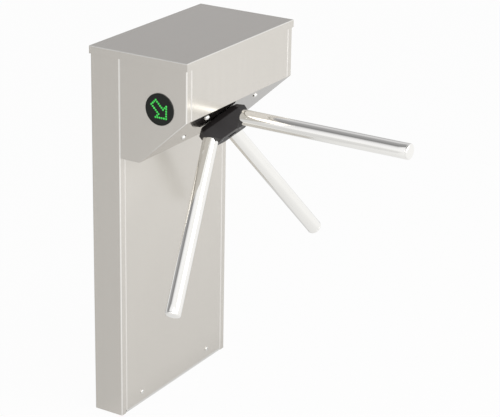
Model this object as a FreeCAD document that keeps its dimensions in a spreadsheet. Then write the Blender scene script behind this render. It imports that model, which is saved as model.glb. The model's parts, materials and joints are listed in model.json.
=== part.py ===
import FreeCAD, Part
import math
import os
import re
import Sketcher

# Tripod turnstile: a slim sheet-steel column with an overhanging head.  A black hub turns on an axis that
# leans out of the head's slanted panel and carries three chrome arms.  Millimetres, +Z up, arms towards -Y,
# origin on the floor at the centre of the anchor holes.

os.makedirs("parts", exist_ok=True)
doc = FreeCAD.newDocument("tripod_turnstile")

# Driving dimensions
sizes = [
    # cabinet
    ("total_height", 980, "floor to the top of the lid"),
    ("column_width", 490, "column and head, side to side"),
    ("column_depth", 85, "column, front to back"),
    ("head_overhang", 195, "head beyond the column's front"),
    ("head_front", 148, "top of the lid to the head's lower front edge"),
    ("floor_depth", 58, "flat underside of the head, from the column's front"),
    ("axis_tilt", 47.5, "hub axis below the horizontal, degrees"),
    ("wall", 1.5, "stainless sheet"),
    ("bend", 2.5, "outside radius of a fold"),
    ("flange", 20, "folded edge beside each front panel"),
    ("fold_depth", 12, "folded-back edge of a panel or flange"),
    ("panel_gap", 1, "joint between a front panel and its frame"),
    ("side_fit", 0.2, "slanted panel inside the head's sides"),
    ("side_lap", 15, "overlap strip that joins head and column"),
    ("lid_skirt", 20, "height of the lid's rim"),
    ("lid_gap", 1, "lid rim to cabinet wall"),
    # floor fixing
    ("base_thick", 6, "base plate"),
    ("base_gap", 0.5, "base plate inside the column"),
    ("sill_thick", 4, "upstand behind the column panel"),
    ("sill_high", 50, "upstand behind the column panel"),
    ("sill_inset", 20, "upstand's end from the panel's edge"),
    ("anchor_hole", 14, "hole for an M12 floor anchor"),
    ("anchor_across", 400, "anchor holes, side to side"),
    ("anchor_deep", 45, "anchor holes, front to back"),
    ("cable_hole", 50, "cable hole in the base plate"),
    ("panel_screw_side", 155, "column panel screw from the middle"),
    ("panel_screw_high", 32, "column panel screw above the floor"),
    ("panel_screw", 5, "column panel screw shank"),
    ("panel_screw_head", 12, "column panel screw head"),
    ("panel_screw_dome", 3.5, "column panel screw head height"),
    ("panel_screw_grip", 8, "column panel screw shank length"),
    # direction indicators
    ("indicator_forward", 118, "indicator centre in front of the column"),
    ("indicator_drop", 126, "indicator centre below the top of the lid"),
    ("indicator_face", 80, "indicator face diameter"),
    ("indicator_rim", 3, "indicator face thickness"),
    ("indicator_box", 50, "side of the lamp box behind the face"),
    ("indicator_deep", 24, "lamp box behind the sheet's outside"),
    ("indicator_gap", 0.5, "lamp box in its cut-out"),
    ("lamp", 4.6, "side of one square lamp"),
    ("lamp_proud", 0.8, "lamp above the indicator's face"),
    ("arrow_tip", 28, "arrow tip from the indicator's centre"),
    ("arrow_neck", 6.5, "arrow head's back edge from the centre"),
    ("arrow_tail", 23.5, "arrow tail from the centre"),
    ("arrow_head", 22, "half width of the arrow head"),
    ("arrow_shaft", 9, "half width of the arrow shaft"),
    # hub and arms, measured along the hub axis from the slanted panel
    ("hub_gap", 2, "panel to the back of the hub"),
    ("hub_high", 54.5, "hub, back to front"),
    ("hub_flat", 48.5, "axis to a flat side of the hub"),
    ("hub_corner", 71.5, "axis to a blunt corner of the hub"),
    ("hub_bevel", 13.5, "bevel round the back of the hub"),
    ("axis_rise", 8, "hub axis above the middle of the slanted panel, along it"),
    ("apex_depth", 13, "panel to the point where the arm centre lines meet"),
    ("socket_face", 79, "that point to the hub's face round an arm"),
    ("socket_floor", 55, "that point to the bottom of an arm socket"),
    ("arm_reach", 543, "that point to the end of an arm"),
    ("arm_tube", 40, "arm tube diameter"),
    ("arm_wall", 2, "arm tube wall"),
    ("arm_fit", 0.05, "radial clearance of the arm in its socket"),
    ("cap_thick", 6, "arm end cap"),
    ("cap_round", 2.5, "arm end cap's bevelled edge"),
    ("grub", 8, "arm locking screw"),
    ("grub_long", 11, "arm locking screw length"),
    ("grub_place", 67, "locking screw along the arm, from where the arms meet"),
    ("hub_bolt", 12, "central hub bolt"),
    ("hub_bolt_head", 18, "central hub bolt head"),
    ("hub_bolt_grip", 41, "central hub bolt shank length"),
    ("hub_bolt_head_high", 7, "central hub bolt head height"),
    ("hub_recess", 30, "six-sided recess for the hub bolt, across its corners"),
    ("hub_recess_deep", 12, "depth of that recess"),
    # shaft and bearings
    ("nose", 28, "shaft end inside the hub"),
    ("nose_long", 32, "shaft end inside the hub"),
    ("collar", 40, "shaft collar through the panel"),
    ("journal", 30, "shaft in its bearings"),
    ("shaft_fit", 0.02, "radial clearance of what sits on the shaft"),
    ("shoulder_gap", 0.2, "shaft collar and index disc to the bearing beside them"),
    ("shaft_hole", 46, "hole for the collar in panel and plate"),
    ("bearing_outer", 62, "bearing outside diameter"),
    ("bearing_wide", 16, "bearing width"),
    ("bearing_apart", 36, "clear distance between the bearings"),
    ("housing_block", 84, "side of the bearing housing's block"),
    ("housing_flange", 116, "side of the bearing housing's flange"),
    ("housing_flange_thick", 8, "bearing housing flange"),
    ("housing_lip", 4, "housing beyond the rear bearing"),
    ("housing_screw_at", 50, "housing screw from the axis, each way"),
    ("housing_screw", 6, "housing screw shank"),
    ("housing_screw_head", 10, "housing screw head diameter"),
    ("housing_screw_head_high", 6, "housing screw head height"),
    ("key_wide", 8, "shaft key width"),
    ("key_high", 7, "shaft key height"),
    ("key_sunk", 4, "shaft key below the shaft's surface"),
    ("hub_key_long", 24, "key in the hub"),
    ("boss", 46, "index disc's boss, across its corners"),
    ("boss_long", 10, "index disc's boss length"),
    # mechanism plates
    ("plate_thick", 6, "mechanism plates"),
    ("plate_wide", 300, "mechanism plates, side to side"),
    ("plate_tall", 148, "mechanism plates, along the slant"),
    ("plate_top", 70, "upper edge of the mechanism plates from the axis, along the slant"),
    ("pillar", 16, "spacer pillar across its corners"),
    ("pillar_long", 58, "spacer pillar length"),
    ("pillar_side", 112, "pillar from the axis, sideways"),
    ("pillar_rise", 47, "pillar from the axis, along the slant"),
    ("plate_bolt", 8, "plate bolt shank"),
    ("plate_bolt_head", 14, "plate bolt head diameter"),
    ("plate_bolt_dome", 4, "plate bolt head height"),
    ("plate_bolt_grip", 26, "plate bolt shank length"),
    ("bolt_gap", 0.25, "radial clearance of a bolt in its hole"),
    # lock
    ("disc", 110, "index disc diameter"),
    ("disc_thick", 8, "index disc"),
    ("notch_wide", 13, "index notch width"),
    ("notch_deep", 10, "index notch depth"),
    ("pawl_thick", 6, "locking pawl"),
    ("pawl_pivot_side", 90, "pawl pivot from the axis, sideways"),
    ("pawl_pivot_drop", 42, "pawl pivot from the axis, down the slant"),
    ("pawl_pin", 8, "pawl pivot pin"),
    ("pawl_collar", 16, "collar on the pivot pin, across its corners"),
    ("pin_end", 4, "pivot pin beyond the pawl"),
    ("pawl_fit", 0.06, "radial clearance of the pivot"),
    ("pawl_side_gap", 0.3, "end clearance of the pawl on its pin"),
    ("nose_gap", 3.5, "retracted pawl to the index disc"),
    ("nose_wide", 10, "width of the pawl's nose"),
    ("tail_reach", 28, "pawl pivot to the plunger pin"),
    ("link_pin", 5, "plunger cross pin"),
    ("link_play", 0.6, "radial play of the cross pin in the pawl"),
    ("plunger", 12, "side of the square solenoid plunger"),
    ("plunger_gap", 0.2, "clearance on each side of the plunger"),
    ("plunger_long", 72, "plunger length"),
    ("fork_slot", 7, "slot in the plunger for the pawl"),
    ("fork_end", 10, "plunger beyond the cross pin"),
    ("coil_wide", 32, "solenoid across"),
    ("coil_deep", 36, "solenoid off the plate"),
    ("coil_tall", 56, "solenoid along the plunger"),
    ("coil_rise", 24, "solenoid's near end above the cross pin"),
    ("coil_roof", 6, "closed end of the solenoid"),
    # damper, sensor and locknut
    ("gear_module", 2, "tooth module"),
    ("gear_teeth", 48, "teeth of the main gear"),
    ("pinion_teeth", 16, "teeth of the damper pinion"),
    ("gear_wide", 8, "main gear width"),
    ("pinion_inset", 0.4, "pinion face inside the main gear's face"),
    ("tooth_play", 0.1, "thinning of each tooth at the pitch circle"),
    ("damper_side", 28, "side of the rotary damper"),
    ("damper_thick", 11, "rotary damper thickness"),
    ("damper_shaft", 8, "rotary damper shaft"),
    ("damper_floor", 2, "closed back of the damper"),
    ("damper_fit", 0.06, "radial clearance of the damper shaft"),
    ("sensor_wide", 16, "fork sensor width"),
    ("sensor_arm", 3, "fork sensor arm thickness"),
    ("sensor_gap", 1, "fork sensor arm to the index disc"),
    ("sensor_cover", 4, "index disc inside the fork"),
    ("sensor_long", 14, "fork sensor length"),
    ("bracket_sheet", 2, "sensor bracket sheet"),
    ("bracket_wide", 20, "sensor bracket width"),
    ("bracket_foot", 12, "sensor bracket foot"),
    ("locknut", 50, "shaft locknut across its corners"),
    ("locknut_thick", 7, "shaft locknut thickness"),
    ("shaft_tail", 3, "shaft beyond the locknut"),
    # electronics on the column's back wall
    ("board_wide", 160, "control board width"),
    ("board_tall", 100, "control board height"),
    ("board_thick", 1.6, "control board"),
    ("board_side", 105, "control board centre from the middle"),
    ("electronics_drop", 140, "centre of the electronics below the top of the lid"),
    ("standoff", 8, "standoff diameter"),
    ("standoff_long", 10, "standoff length"),
    ("standoff_inset", 6, "standoff from the board's edge"),
    ("relay_wide", 20, "relay width"),
    ("relay_tall", 28, "relay height"),
    ("relay_deep", 15, "relay depth"),
    ("relay_pitch", 26, "relay spacing"),
    ("terminal_deep", 12, "terminal strip depth"),
    ("terminal_tall", 12, "terminal strip height"),
    ("supply_wide", 130, "power supply width"),
    ("supply_tall", 98, "power supply height"),
    ("supply_deep", 32, "power supply depth"),
    ("supply_side", 110, "power supply centre from the middle"),
    ("supply_step", 14, "terminal ledge of the power supply"),
]

# Lengths that follow from them
derived = {
    "half_width": "column_width / 2",
    "half_depth": "column_depth / 2",
    "head_face": "-half_depth - head_overhang",
    "rim": "total_height - wall",
    "head_low": "total_height - head_front",
    "slant_drop": "(head_overhang - floor_depth) / tan(axis_tilt)",
    "floor_level": "head_low - slant_drop",
    "panel_half": "half_width - flange - panel_gap",
    "axis_y": "-half_depth - (head_overhang + floor_depth) / 2 - axis_rise * sin(axis_tilt)",
    "axis_z": "head_low - slant_drop / 2 + axis_rise * cos(axis_tilt)",
    "arm_cone": "axis_tilt",
    "hub_back": "hub_gap",
    "hub_front": "hub_gap + hub_high",
    "plate_front": "-wall",
    "plate_back": "plate_front - plate_thick",
    "rear_plate_front": "plate_back - pillar_long",
    "rear_plate_back": "rear_plate_front - plate_thick",
    "front_bearing": "plate_back",
    "rear_bearing": "plate_back - bearing_wide - bearing_apart",
    "rear_bearing_end": "rear_bearing - bearing_wide",
    "housing_end": "rear_bearing_end - housing_lip",
    "disc_front": "rear_bearing_end - boss_long",
    "gear_front": "disc_front - disc_thick",
    "locknut_front": "gear_front - gear_wide",
    "shaft_end": "locknut_front - locknut_thick - shaft_tail",
    "pawl_front": "disc_front - (disc_thick - pawl_thick) / 2",
    "pawl_mid": "pawl_front - pawl_thick / 2",
    "link_side": "pawl_pivot_side + tail_reach",
    "pitch": "gear_module * (gear_teeth + pinion_teeth) / 2",
    "indicator_y": "-half_depth - indicator_forward",
    "indicator_high": "total_height - indicator_drop",
    "electronics_high": "total_height - electronics_drop",
    "back_face": "half_depth - wall",
}

sheet = doc.addObject("Spreadsheet::Sheet", "Sizes")
for row, (alias, number, note) in enumerate(sizes, 1):
    sheet.set(f"A{row}", note)
    sheet.set(f"B{row}", str(number))
    sheet.setAlias(f"B{row}", alias)
doc.recompute()
aliases = {alias for alias, number, note in sizes}
nodes = []


# Formulas and placing
def formula(text):
    """The text with each size written as a cell of the sheet and each derived length written out."""
    def cell(match):
        word = match.group()
        if word in derived:
            return "(" + formula(derived[word]) + ")"
        return "Sizes." + word if word in aliases else word
    return re.sub(r"[A-Za-z_]+", cell, text)


def number(text):
    """The present value of a formula."""
    result = sheet.evalExpression(formula(text))
    return float(getattr(result, "Value", result))


def bind(item, **texts):
    """Ties properties of an object to formulas."""
    for name, text in texts.items():
        item.setExpression(name, formula(text))


def place(item, x="0", y="0", z="0"):
    """Ties an object's position to formulas."""
    for axis, text in zip("xyz", (x, y, z)):
        item.setExpression("Placement.Base." + axis, formula(text))
    return item


tilted = "placement(vector(0; axis_y; axis_z); rotation(vector(1; 0; 0); 90 + axis_tilt))"
along_arm = "placement(vector(0; 0; -apex_depth); rotation(vector(1; 0; 0); -arm_cone))"


def turned_by(degrees):
    """A turn about the hub axis."""
    return f"placement(vector(0; 0; 0); rotation(vector(0; 0; 1); {degrees}))"


def on_axis(item):
    """Stands an object on the slanted panel: its X sideways, Y up the slant, Z out along the hub axis."""
    bind(item, Placement=tilted)
    return item


def on_arm(item, arm):
    """Lays an object along an arm: its Z runs from the point where the arms meet to the arm's end."""
    bind(item, Placement=f"{tilted} * {turned_by(120 * arm)} * {along_arm}")
    return item


def keep(item, name):
    """Names an object as one sub-part."""
    item.Label = name
    nodes.append(item)
    return item


# Primitives
def box(x, y, z):
    """A block between two formulas on each axis."""
    item = doc.addObject("Part::Box", "block")
    bind(item, Length=f"({x[1]}) - ({x[0]})", Width=f"({y[1]}) - ({y[0]})", Height=f"({z[1]}) - ({z[0]})")
    return place(item, x[0], y[0], z[0])


def rod(radius, z, x="0", y="0"):
    """An upright cylinder between two heights."""
    item = doc.addObject("Part::Cylinder", "rod")
    bind(item, Radius=radius, Height=f"({z[1]}) - ({z[0]})")
    return place(item, x, y, z[0])


def prism(sides, radius, z, x="0", y="0"):
    """An upright bar with flat sides, between two heights; the radius is to its corners."""
    item = doc.addObject("Part::Prism", "prism")
    item.Polygon = sides
    bind(item, Circumradius=radius, Height=f"({z[1]}) - ({z[0]})")
    return place(item, x, y, z[0])


def joined(items):
    """Several solids as one."""
    item = doc.addObject("Part::MultiFuse", "joined")
    item.Shapes = items
    return item


def group(items):
    """Several separate solids side by side."""
    item = doc.addObject("Part::Compound", "group")
    item.Links = items
    return item


def cut(base, tool):
    """One solid less another."""
    item = doc.addObject("Part::Cut", "cut")
    item.Base = base
    item.Tool = tool
    return item


# Sketches and features
def body(name):
    return keep(doc.addObject("PartDesign::Body", name), name)


def origin(owner, role):
    """One of a body's own origin planes or axes."""
    return next(item for item in owner.Origin.OriginFeatures if item.Role == role)


def sketch(owner, plane, lift="0"):
    """An empty sketch, raised off one of the body's origin planes."""
    item = owner.newObject("Sketcher::SketchObject", "sketch")
    item.AttachmentSupport = [(origin(owner, plane), "")]
    item.MapMode = "FlatFace"
    item.setExpression("AttachmentOffset.Base.z", formula(lift))
    return item


def pin(item, geometry, point, x, y):
    """Holds a sketch point at two formulas from the sketch's origin."""
    for kind, text in (("DistanceX", x), ("DistanceY", y)):
        held = item.addConstraint(Sketcher.Constraint(kind, -1, 1, geometry, point, number(text)))
        item.setExpression(f"Constraints[{held}]", formula(text))


def outline(item, points):
    """A closed polygon whose corners are pairs of formulas."""
    first = item.GeometryCount
    corners = [FreeCAD.Vector(number(x), number(y), 0) for x, y in points]
    count = len(corners)
    for index in range(count):
        item.addGeometry(Part.LineSegment(corners[index], corners[(index + 1) % count]), False)
    for index in range(count):
        following = first + (index + 1) % count
        item.addConstraint(Sketcher.Constraint("Coincident", first + index, 2, following, 1))
    for index, (x, y) in enumerate(points):
        pin(item, first + index, 1, x, y)
    return item


def circle(item, radius, x="0", y="0"):
    """A circle at two formulas from the sketch's origin."""
    centre = FreeCAD.Vector(number(x), number(y), 0)
    index = item.addGeometry(Part.Circle(centre, FreeCAD.Vector(0, 0, 1), number(radius)), False)
    held = item.addConstraint(Sketcher.Constraint("Radius", index, number(radius)))
    item.setExpression(f"Constraints[{held}]", formula(radius))
    pin(item, index, 3, x, y)
    return item


def hexagon(item, radius, x="0", y="0"):
    """A six-sided hole; the radius is to its corners."""
    corners = []
    for corner in range(6):
        angle = math.radians(60 * corner)
        across = round(math.cos(angle), 9)
        up = round(math.sin(angle), 9)
        corners.append((f"{x} + ({radius}) * {across}", f"{y} + ({radius}) * {up}"))
    return outline(item, corners)


def rectangle(x, y):
    """The four corners between two formulas on each axis."""
    return [(x[0], y[0]), (x[1], y[0]), (x[1], y[1]), (x[0], y[1])]


def mirrored(text):
    """A pair of formulas, one each side of the middle."""
    return f"-({text})", text


def add(owner, kind, profile, length=None, back=False, both=False):
    """A pad or pocket from a sketch; with no length it goes right through."""
    item = owner.newObject("PartDesign::" + kind, kind.lower())
    item.Profile = profile
    item.Reversed = back
    if both:
        item.SideType = "Symmetric"
    if length is None:
        item.Type = "ThroughAll"
    else:
        bind(item, Length=length)
    owner.Tip = item
    doc.recompute()
    return item


def turn(owner, points):
    """A body of revolution about its Z axis from radius and height pairs."""
    item = owner.newObject("PartDesign::Revolution", "revolution")
    item.Profile = outline(sketch(owner, "XZ_Plane"), points)
    item.ReferenceAxis = (origin(owner, "Z_Axis"), [""])
    item.Angle = 360
    owner.Tip = item
    doc.recompute()
    return item


def ring_of(owner, features, count):
    """Repeats features round the body's Z axis."""
    item = owner.newObject("PartDesign::PolarPattern", "pattern")
    item.Originals = features
    item.Axis = (origin(owner, "Z_Axis"), [""])
    item.Angle = 360
    item.Occurrences = count
    owner.Tip = item
    doc.recompute()
    return item


def dress(owner, kind, size, chosen):
    """Rounds or bevels the edges that a test picks by their two end points."""
    before = owner.Tip
    names = []
    for index, edge in enumerate(before.Shape.Edges, 1):
        if chosen(edge.Vertexes[0].Point, edge.Vertexes[-1].Point):
            names.append(f"Edge{index}")
    item = owner.newObject("PartDesign::" + kind, kind.lower())
    item.Base = (before, names)
    bind(item, **{"Radius" if kind == "Fillet" else "Size": size})
    owner.Tip = item
    doc.recompute()
    return item


def near(value, text):
    return abs(value - number(text)) < 1e-4


def upright(a, b):
    """True where two points stand one above the other."""
    return abs(a.x - b.x) < 1e-4 and abs(a.y - b.y) < 1e-4


# Column: folded shell, screwed front panel and base plate
shell = body("column_shell")
inner_flange = "half_width - flange"
shell_profile = [
    (f"-({inner_flange})", "-half_depth + fold_depth"),
    (f"-({inner_flange})", "-half_depth"),
    ("-half_width", "-half_depth"),
    ("-half_width", "half_depth"),
    ("half_width", "half_depth"),
    ("half_width", "-half_depth"),
    (inner_flange, "-half_depth"),
    (inner_flange, "-half_depth + fold_depth"),
    (f"{inner_flange} + wall", "-half_depth + fold_depth"),
    (f"{inner_flange} + wall", "-half_depth + wall"),
    ("half_width - wall", "-half_depth + wall"),
    ("half_width - wall", "back_face"),
    ("-half_width + wall", "back_face"),
    ("-half_width + wall", "-half_depth + wall"),
    (f"-({inner_flange}) - wall", "-half_depth + wall"),
    (f"-({inner_flange}) - wall", "-half_depth + fold_depth"),
]
add(shell, "Pad", outline(sketch(shell, "XY_Plane"), shell_profile), "rim")
dress(shell, "Fillet", "bend", lambda a, b: upright(a, b) and (
    (near(abs(a.x), "half_width") and near(abs(a.y), "half_depth"))
    or (near(abs(a.x), inner_flange) and near(a.y, "-half_depth"))))
# the head opens into the column above the head's floor
opening = rectangle(mirrored("half_width - wall"), ("-half_depth - 1", "-half_depth + fold_depth + 1"))
opening_plan = outline(sketch(shell, "XY_Plane", "floor_level"), opening)
add(shell, "Pocket", opening_plan, "head_front + slant_drop", back=True)


def tray(name, low, high, front, foot):
    """A front panel with folded-back edges; one without a foot is open below."""
    panel = body(name)
    face = sketch(panel, "XZ_Plane", f"-({front})")
    add(panel, "Pad", outline(face, rectangle(mirrored("panel_half"), (low, high))), "fold_depth", back=True)
    hollow = sketch(panel, "XZ_Plane", f"-({front}) - wall")
    inside_low = f"{low} + wall" if foot else f"{low} - 1"
    inside = rectangle(mirrored("panel_half - wall"), (inside_low, f"{high} - wall"))
    add(panel, "Pocket", outline(hollow, inside), "fold_depth")
    dress(panel, "Fillet", "bend", lambda a, b: upright(a, b)
          and near(abs(a.x), "panel_half") and near(a.y, front))
    return panel


column_panel_span = ("base_thick + panel_gap", "floor_level - panel_gap")
column_panel = tray("column_front_panel", *column_panel_span, "-half_depth", False)
panel_holes = sketch(column_panel, "XZ_Plane", "half_depth")
for side in (-1, 1):
    hexagon(panel_holes, "panel_screw / 2 + bolt_gap", f"{side} * panel_screw_side", "panel_screw_high")
add(column_panel, "Pocket", panel_holes, "wall")

base = body("base_plate")
base_half = "half_width - wall - base_gap"
base_front = "-half_depth + fold_depth + base_gap"
base_back = "back_face - base_gap"
tongue_half = "panel_half - wall - base_gap"
tongue_front = "-half_depth + wall"
base_outline = [
    (f"-({base_half})", base_back),
    (f"-({base_half})", base_front),
    (f"-({tongue_half})", base_front),
    (f"-({tongue_half})", tongue_front),
    (tongue_half, tongue_front),
    (tongue_half, base_front),
    (base_half, base_front),
    (base_half, base_back),
]
add(base, "Pad", outline(sketch(base, "XY_Plane"), base_outline), "base_thick")
sill = rectangle(mirrored(f"{tongue_half} - sill_inset"), (tongue_front, f"{tongue_front} + sill_thick"))
add(base, "Pad", outline(sketch(base, "XY_Plane"), sill), "sill_high")
floor_holes = sketch(base, "XY_Plane")
for across in (-1, 1):
    for deep in (-1, 1):
        circle(floor_holes, "anchor_hole / 2", f"{across} * anchor_across / 2", f"{deep} * anchor_deep / 2")
circle(floor_holes, "cable_hole / 2")
add(base, "Pocket", floor_holes, "base_thick", back=True)
sill_holes = sketch(base, "XZ_Plane", f"-({tongue_front})")
for side in (-1, 1):
    hexagon(sill_holes, "panel_screw / 2 + shaft_fit", f"{side} * panel_screw_side", "panel_screw_high")
add(base, "Pocket", sill_holes, "sill_thick")


def panel_screw(side):
    """A domed screw whose axis lies front to back."""
    head = prism(8, "panel_screw_head / 2", ("0", "panel_screw_dome"))
    screw = joined([head, prism(6, "panel_screw / 2", ("-panel_screw_grip", "0"))])
    bind(screw, Placement=f"placement(vector({side} * panel_screw_side; -half_depth; panel_screw_high);"
                          " rotation(vector(1; 0; 0); 90))")
    return screw


keep(group([panel_screw(-1), panel_screw(1)]), "column_panel_screws")


# Head: two side sheets, a front panel, a slanted panel that carries the mechanism, and the lid
def head_side(name, side):
    """One end of the head, with its folded front edge and the strip that laps inside the column."""
    cheek = body(name)
    fold = [
        ("half_width", "-half_depth"),
        ("half_width", "head_face"),
        (inner_flange, "head_face"),
        (inner_flange, "head_face + fold_depth"),
        (f"{inner_flange} + wall", "head_face + fold_depth"),
        (f"{inner_flange} + wall", "head_face + wall"),
        ("half_width - wall", "head_face + wall"),
        ("half_width - wall", "-half_depth"),
    ]
    sheet_plan = [(f"{side} * ({x})", y) for x, y in fold]
    add(cheek, "Pad", outline(sketch(cheek, "XY_Plane", "floor_level"), sheet_plan), "rim - floor_level")
    dress(cheek, "Fillet", "bend", lambda a, b: upright(a, b) and near(a.y, "head_face")
          and (near(abs(a.x), "half_width") or near(abs(a.x), inner_flange)))
    # the sheet's lower edge follows the slanted panel, and the folded front edge stops above it
    spare = "fold_depth"
    below = [
        (f"head_face - {spare}", f"head_low + {spare} / tan(axis_tilt)"),
        (f"-half_depth - floor_depth + {spare} * tan(axis_tilt)", f"floor_level - {spare}"),
        (f"head_face - {spare}", f"floor_level - {spare}"),
    ]
    add(cheek, "Pocket", outline(sketch(cheek, "YZ_Plane"), below), "2 * column_width", both=True)
    under_fold = rectangle((f"{side} * ({inner_flange} - wall)", f"{side} * (half_width - wall)"),
                           ("head_face - wall", "head_face + fold_depth + wall"))
    add(cheek, "Pocket", outline(sketch(cheek, "XY_Plane", "head_low"), under_fold), "slant_drop")
    strip_x = (f"{side} * (half_width - wall)", f"{side} * (half_width - 2 * wall)")
    strip = rectangle(strip_x, ("-half_depth - side_lap", "-half_depth + side_lap"))
    strip_low = "floor_level + fold_depth + side_lap"
    strip_plan = outline(sketch(cheek, "XY_Plane", strip_low), strip)
    add(cheek, "Pad", strip_plan, f"rim - lid_skirt - ({strip_low})")
    reach = "indicator_box / 2 + indicator_gap"
    hole = rectangle((f"indicator_y - ({reach})", f"indicator_y + {reach}"),
                     (f"indicator_high - ({reach})", f"indicator_high + {reach}"))
    hole_plan = outline(sketch(cheek, "YZ_Plane", f"{side} * half_width"), hole)
    add(cheek, "Pocket", hole_plan, "4 * wall", both=True)
    return cheek


head_side("head_side_left", -1)
head_side("head_side_right", 1)
tray("head_front_panel", "head_low", "rim", "head_face", True)

slant = body("slant_panel")
slant_half = "half_width - wall - side_fit"
slant_top = "head_face + wall + panel_gap"
slant_rise = f"head_low - ({slant_top} - head_face) / tan(axis_tilt)"


def slant_band(thick):
    """The slanted panel and the flat floor behind it, drawn as a bent strip of the given thickness."""
    fold = f"-half_depth - floor_depth + {thick} * tan((90 - axis_tilt) / 2)"
    return [
        (slant_top, slant_rise),
        ("-half_depth - floor_depth", "floor_level"),
        ("-half_depth + fold_depth", "floor_level"),
        ("-half_depth + fold_depth", f"floor_level + {thick}"),
        (fold, f"floor_level + {thick}"),
        (slant_top, f"{slant_rise} + {thick} / sin(axis_tilt)"),
    ]


add(slant, "Pad", outline(sketch(slant, "YZ_Plane"), slant_band("wall")), f"2 * ({slant_half})", both=True)
for end in (f"{slant_half} - wall", f"-({slant_half})"):
    add(slant, "Pad", outline(sketch(slant, "YZ_Plane", end), slant_band("fold_depth")), "wall")


def slant_holes(owner):
    """An empty sketch in the slanted panel's own plane, square to the hub axis."""
    item = owner.newObject("Sketcher::SketchObject", "sketch")
    item.AttachmentSupport = [(origin(owner, "XY_Plane"), "")]
    item.MapMode = "FlatFace"
    bind(item, AttachmentOffset=tilted)
    return item


def corner_holes(item, radius, across="pillar_side", rise="pillar_rise"):
    """Four bolt holes, the same distances either side of the hub axis."""
    for x in mirrored(across):
        for y in mirrored(rise):
            hexagon(item, radius, x, y)
    return item


panel_cut = circle(slant_holes(slant), "shaft_hole / 2")
corner_holes(panel_cut, "plate_bolt / 2 + bolt_gap")
add(slant, "Pocket", panel_cut, "4 * wall", both=True)

lid = body("lid")
lid_low = "total_height - lid_skirt"


def lid_outline(margin):
    """The lid's plan, a margin outside the cabinet."""
    front_to_back = (f"head_face - ({margin})", f"half_depth + {margin}")
    return rectangle(mirrored(f"half_width + {margin}"), front_to_back)


add(lid, "Pad", outline(sketch(lid, "XY_Plane", lid_low), lid_outline("lid_gap + wall")), "lid_skirt")
lid_inside = outline(sketch(lid, "XY_Plane", lid_low), lid_outline("lid_gap"))
add(lid, "Pocket", lid_inside, "lid_skirt - wall", back=True)
dress(lid, "Fillet", "wall", lambda a, b: near(a.z, "total_height") and near(b.z, "total_height"))


# Direction indicators: a black round face on each end of the head, with an arrow of square lamps
def arrow_lamps():
    """Lamp places along the arrow's outline, as pairs of formulas along and across the arrow."""
    half = [("arrow_tip", "0")]
    runs = [
        (("arrow_tip", "0"), ("arrow_neck", "arrow_head"), 5),
        (("arrow_neck", "arrow_head"), ("arrow_neck", "arrow_shaft"), 2),
        (("arrow_neck", "arrow_shaft"), ("-arrow_tail", "arrow_shaft"), 5),
    ]
    for start, end, steps in runs:
        for step in range(1, steps + 1):
            share = step / steps
            half.append(tuple(f"({a}) + (({b}) - ({a})) * {share}" for a, b in zip(start, end)))
    other = [(along, f"-({across})") for along, across in half[1:]]
    tail = [("-arrow_tail", f"{share} * arrow_shaft") for share in (-1 / 3, 1 / 3)]
    return half + other + tail


def facing_out(side):
    """Turns what is drawn face up so that it looks out of one end of the head."""
    return (f"placement(vector({side} * half_width; indicator_y; indicator_high);"
            f" rotation(vector(0; 1; 0); {side} * 90))")


def indicator_housing(side):
    """A round face outside the sheet and a square lamp box through it."""
    half = mirrored("indicator_box / 2")
    face = rod("indicator_face / 2", ("0", "indicator_rim"))
    housing = joined([face, box(half, half, ("-indicator_deep", "0"))])
    bind(housing, Placement=facing_out(side))
    return housing


def indicator_lamps(name, side):
    """The arrow's lamps; it points down and forward at 45 degrees."""
    lamps = []
    for along, across in arrow_lamps():
        forward = f"(({along}) + ({across})) * sqrt(0.5)"
        up = f"(({across}) - ({along})) * sqrt(0.5)"
        x = f"-{side} * ({up}) - lamp / 2"
        y = f"-({forward}) - lamp / 2"
        lit = ("indicator_rim", "indicator_rim + lamp_proud")
        lamps.append(box((x, f"{x} + lamp"), (y, f"{y} + lamp"), lit))
    bind(keep(group(lamps), name), Placement=facing_out(side))


keep(group([indicator_housing(-1), indicator_housing(1)]), "indicator_housings")
indicator_lamps("indicator_lamps_left", -1)
indicator_lamps("indicator_lamps_right", 1)


# Mechanism frame behind the slanted panel
def mechanism_plate(name, front):
    """The outline of a plate parallel to the slanted panel, held at its corner bolts."""
    plate = on_axis(body(name))
    blank = outline(sketch(plate, "XY_Plane", f"{front} - plate_thick"),
                    rectangle(mirrored("plate_wide / 2"), ("plate_top - plate_tall", "plate_top")))
    corner_holes(blank, "plate_bolt / 2 + bolt_gap")
    return plate, blank


front_plate, front_blank = mechanism_plate("mechanism_plate", "plate_front")
circle(front_blank, "shaft_hole / 2")
corner_holes(front_blank, "housing_screw / 2 + shaft_fit", "housing_screw_at", "housing_screw_at")
add(front_plate, "Pad", front_blank, "plate_thick")
rear_plate, rear_blank = mechanism_plate("rear_plate", "rear_plate_front")
block_hole = mirrored("housing_block / 2 + bolt_gap")
outline(rear_blank, rectangle(block_hole, block_hole))
add(rear_plate, "Pad", rear_blank, "plate_thick")


def at_corners(make, across="pillar_side", rise="pillar_rise"):
    """One of something at each of four corners."""
    return [make(x, y) for x in mirrored(across) for y in mirrored(rise)]


pillar_span = ("rear_plate_front", "plate_back")
pillars = cut(group(at_corners(lambda x, y: prism(6, "pillar / 2", pillar_span, x, y))),
              group(at_corners(lambda x, y: prism(6, "plate_bolt / 2 + shaft_fit", pillar_span, x, y))))
on_axis(keep(pillars, "plate_pillars"))


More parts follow.
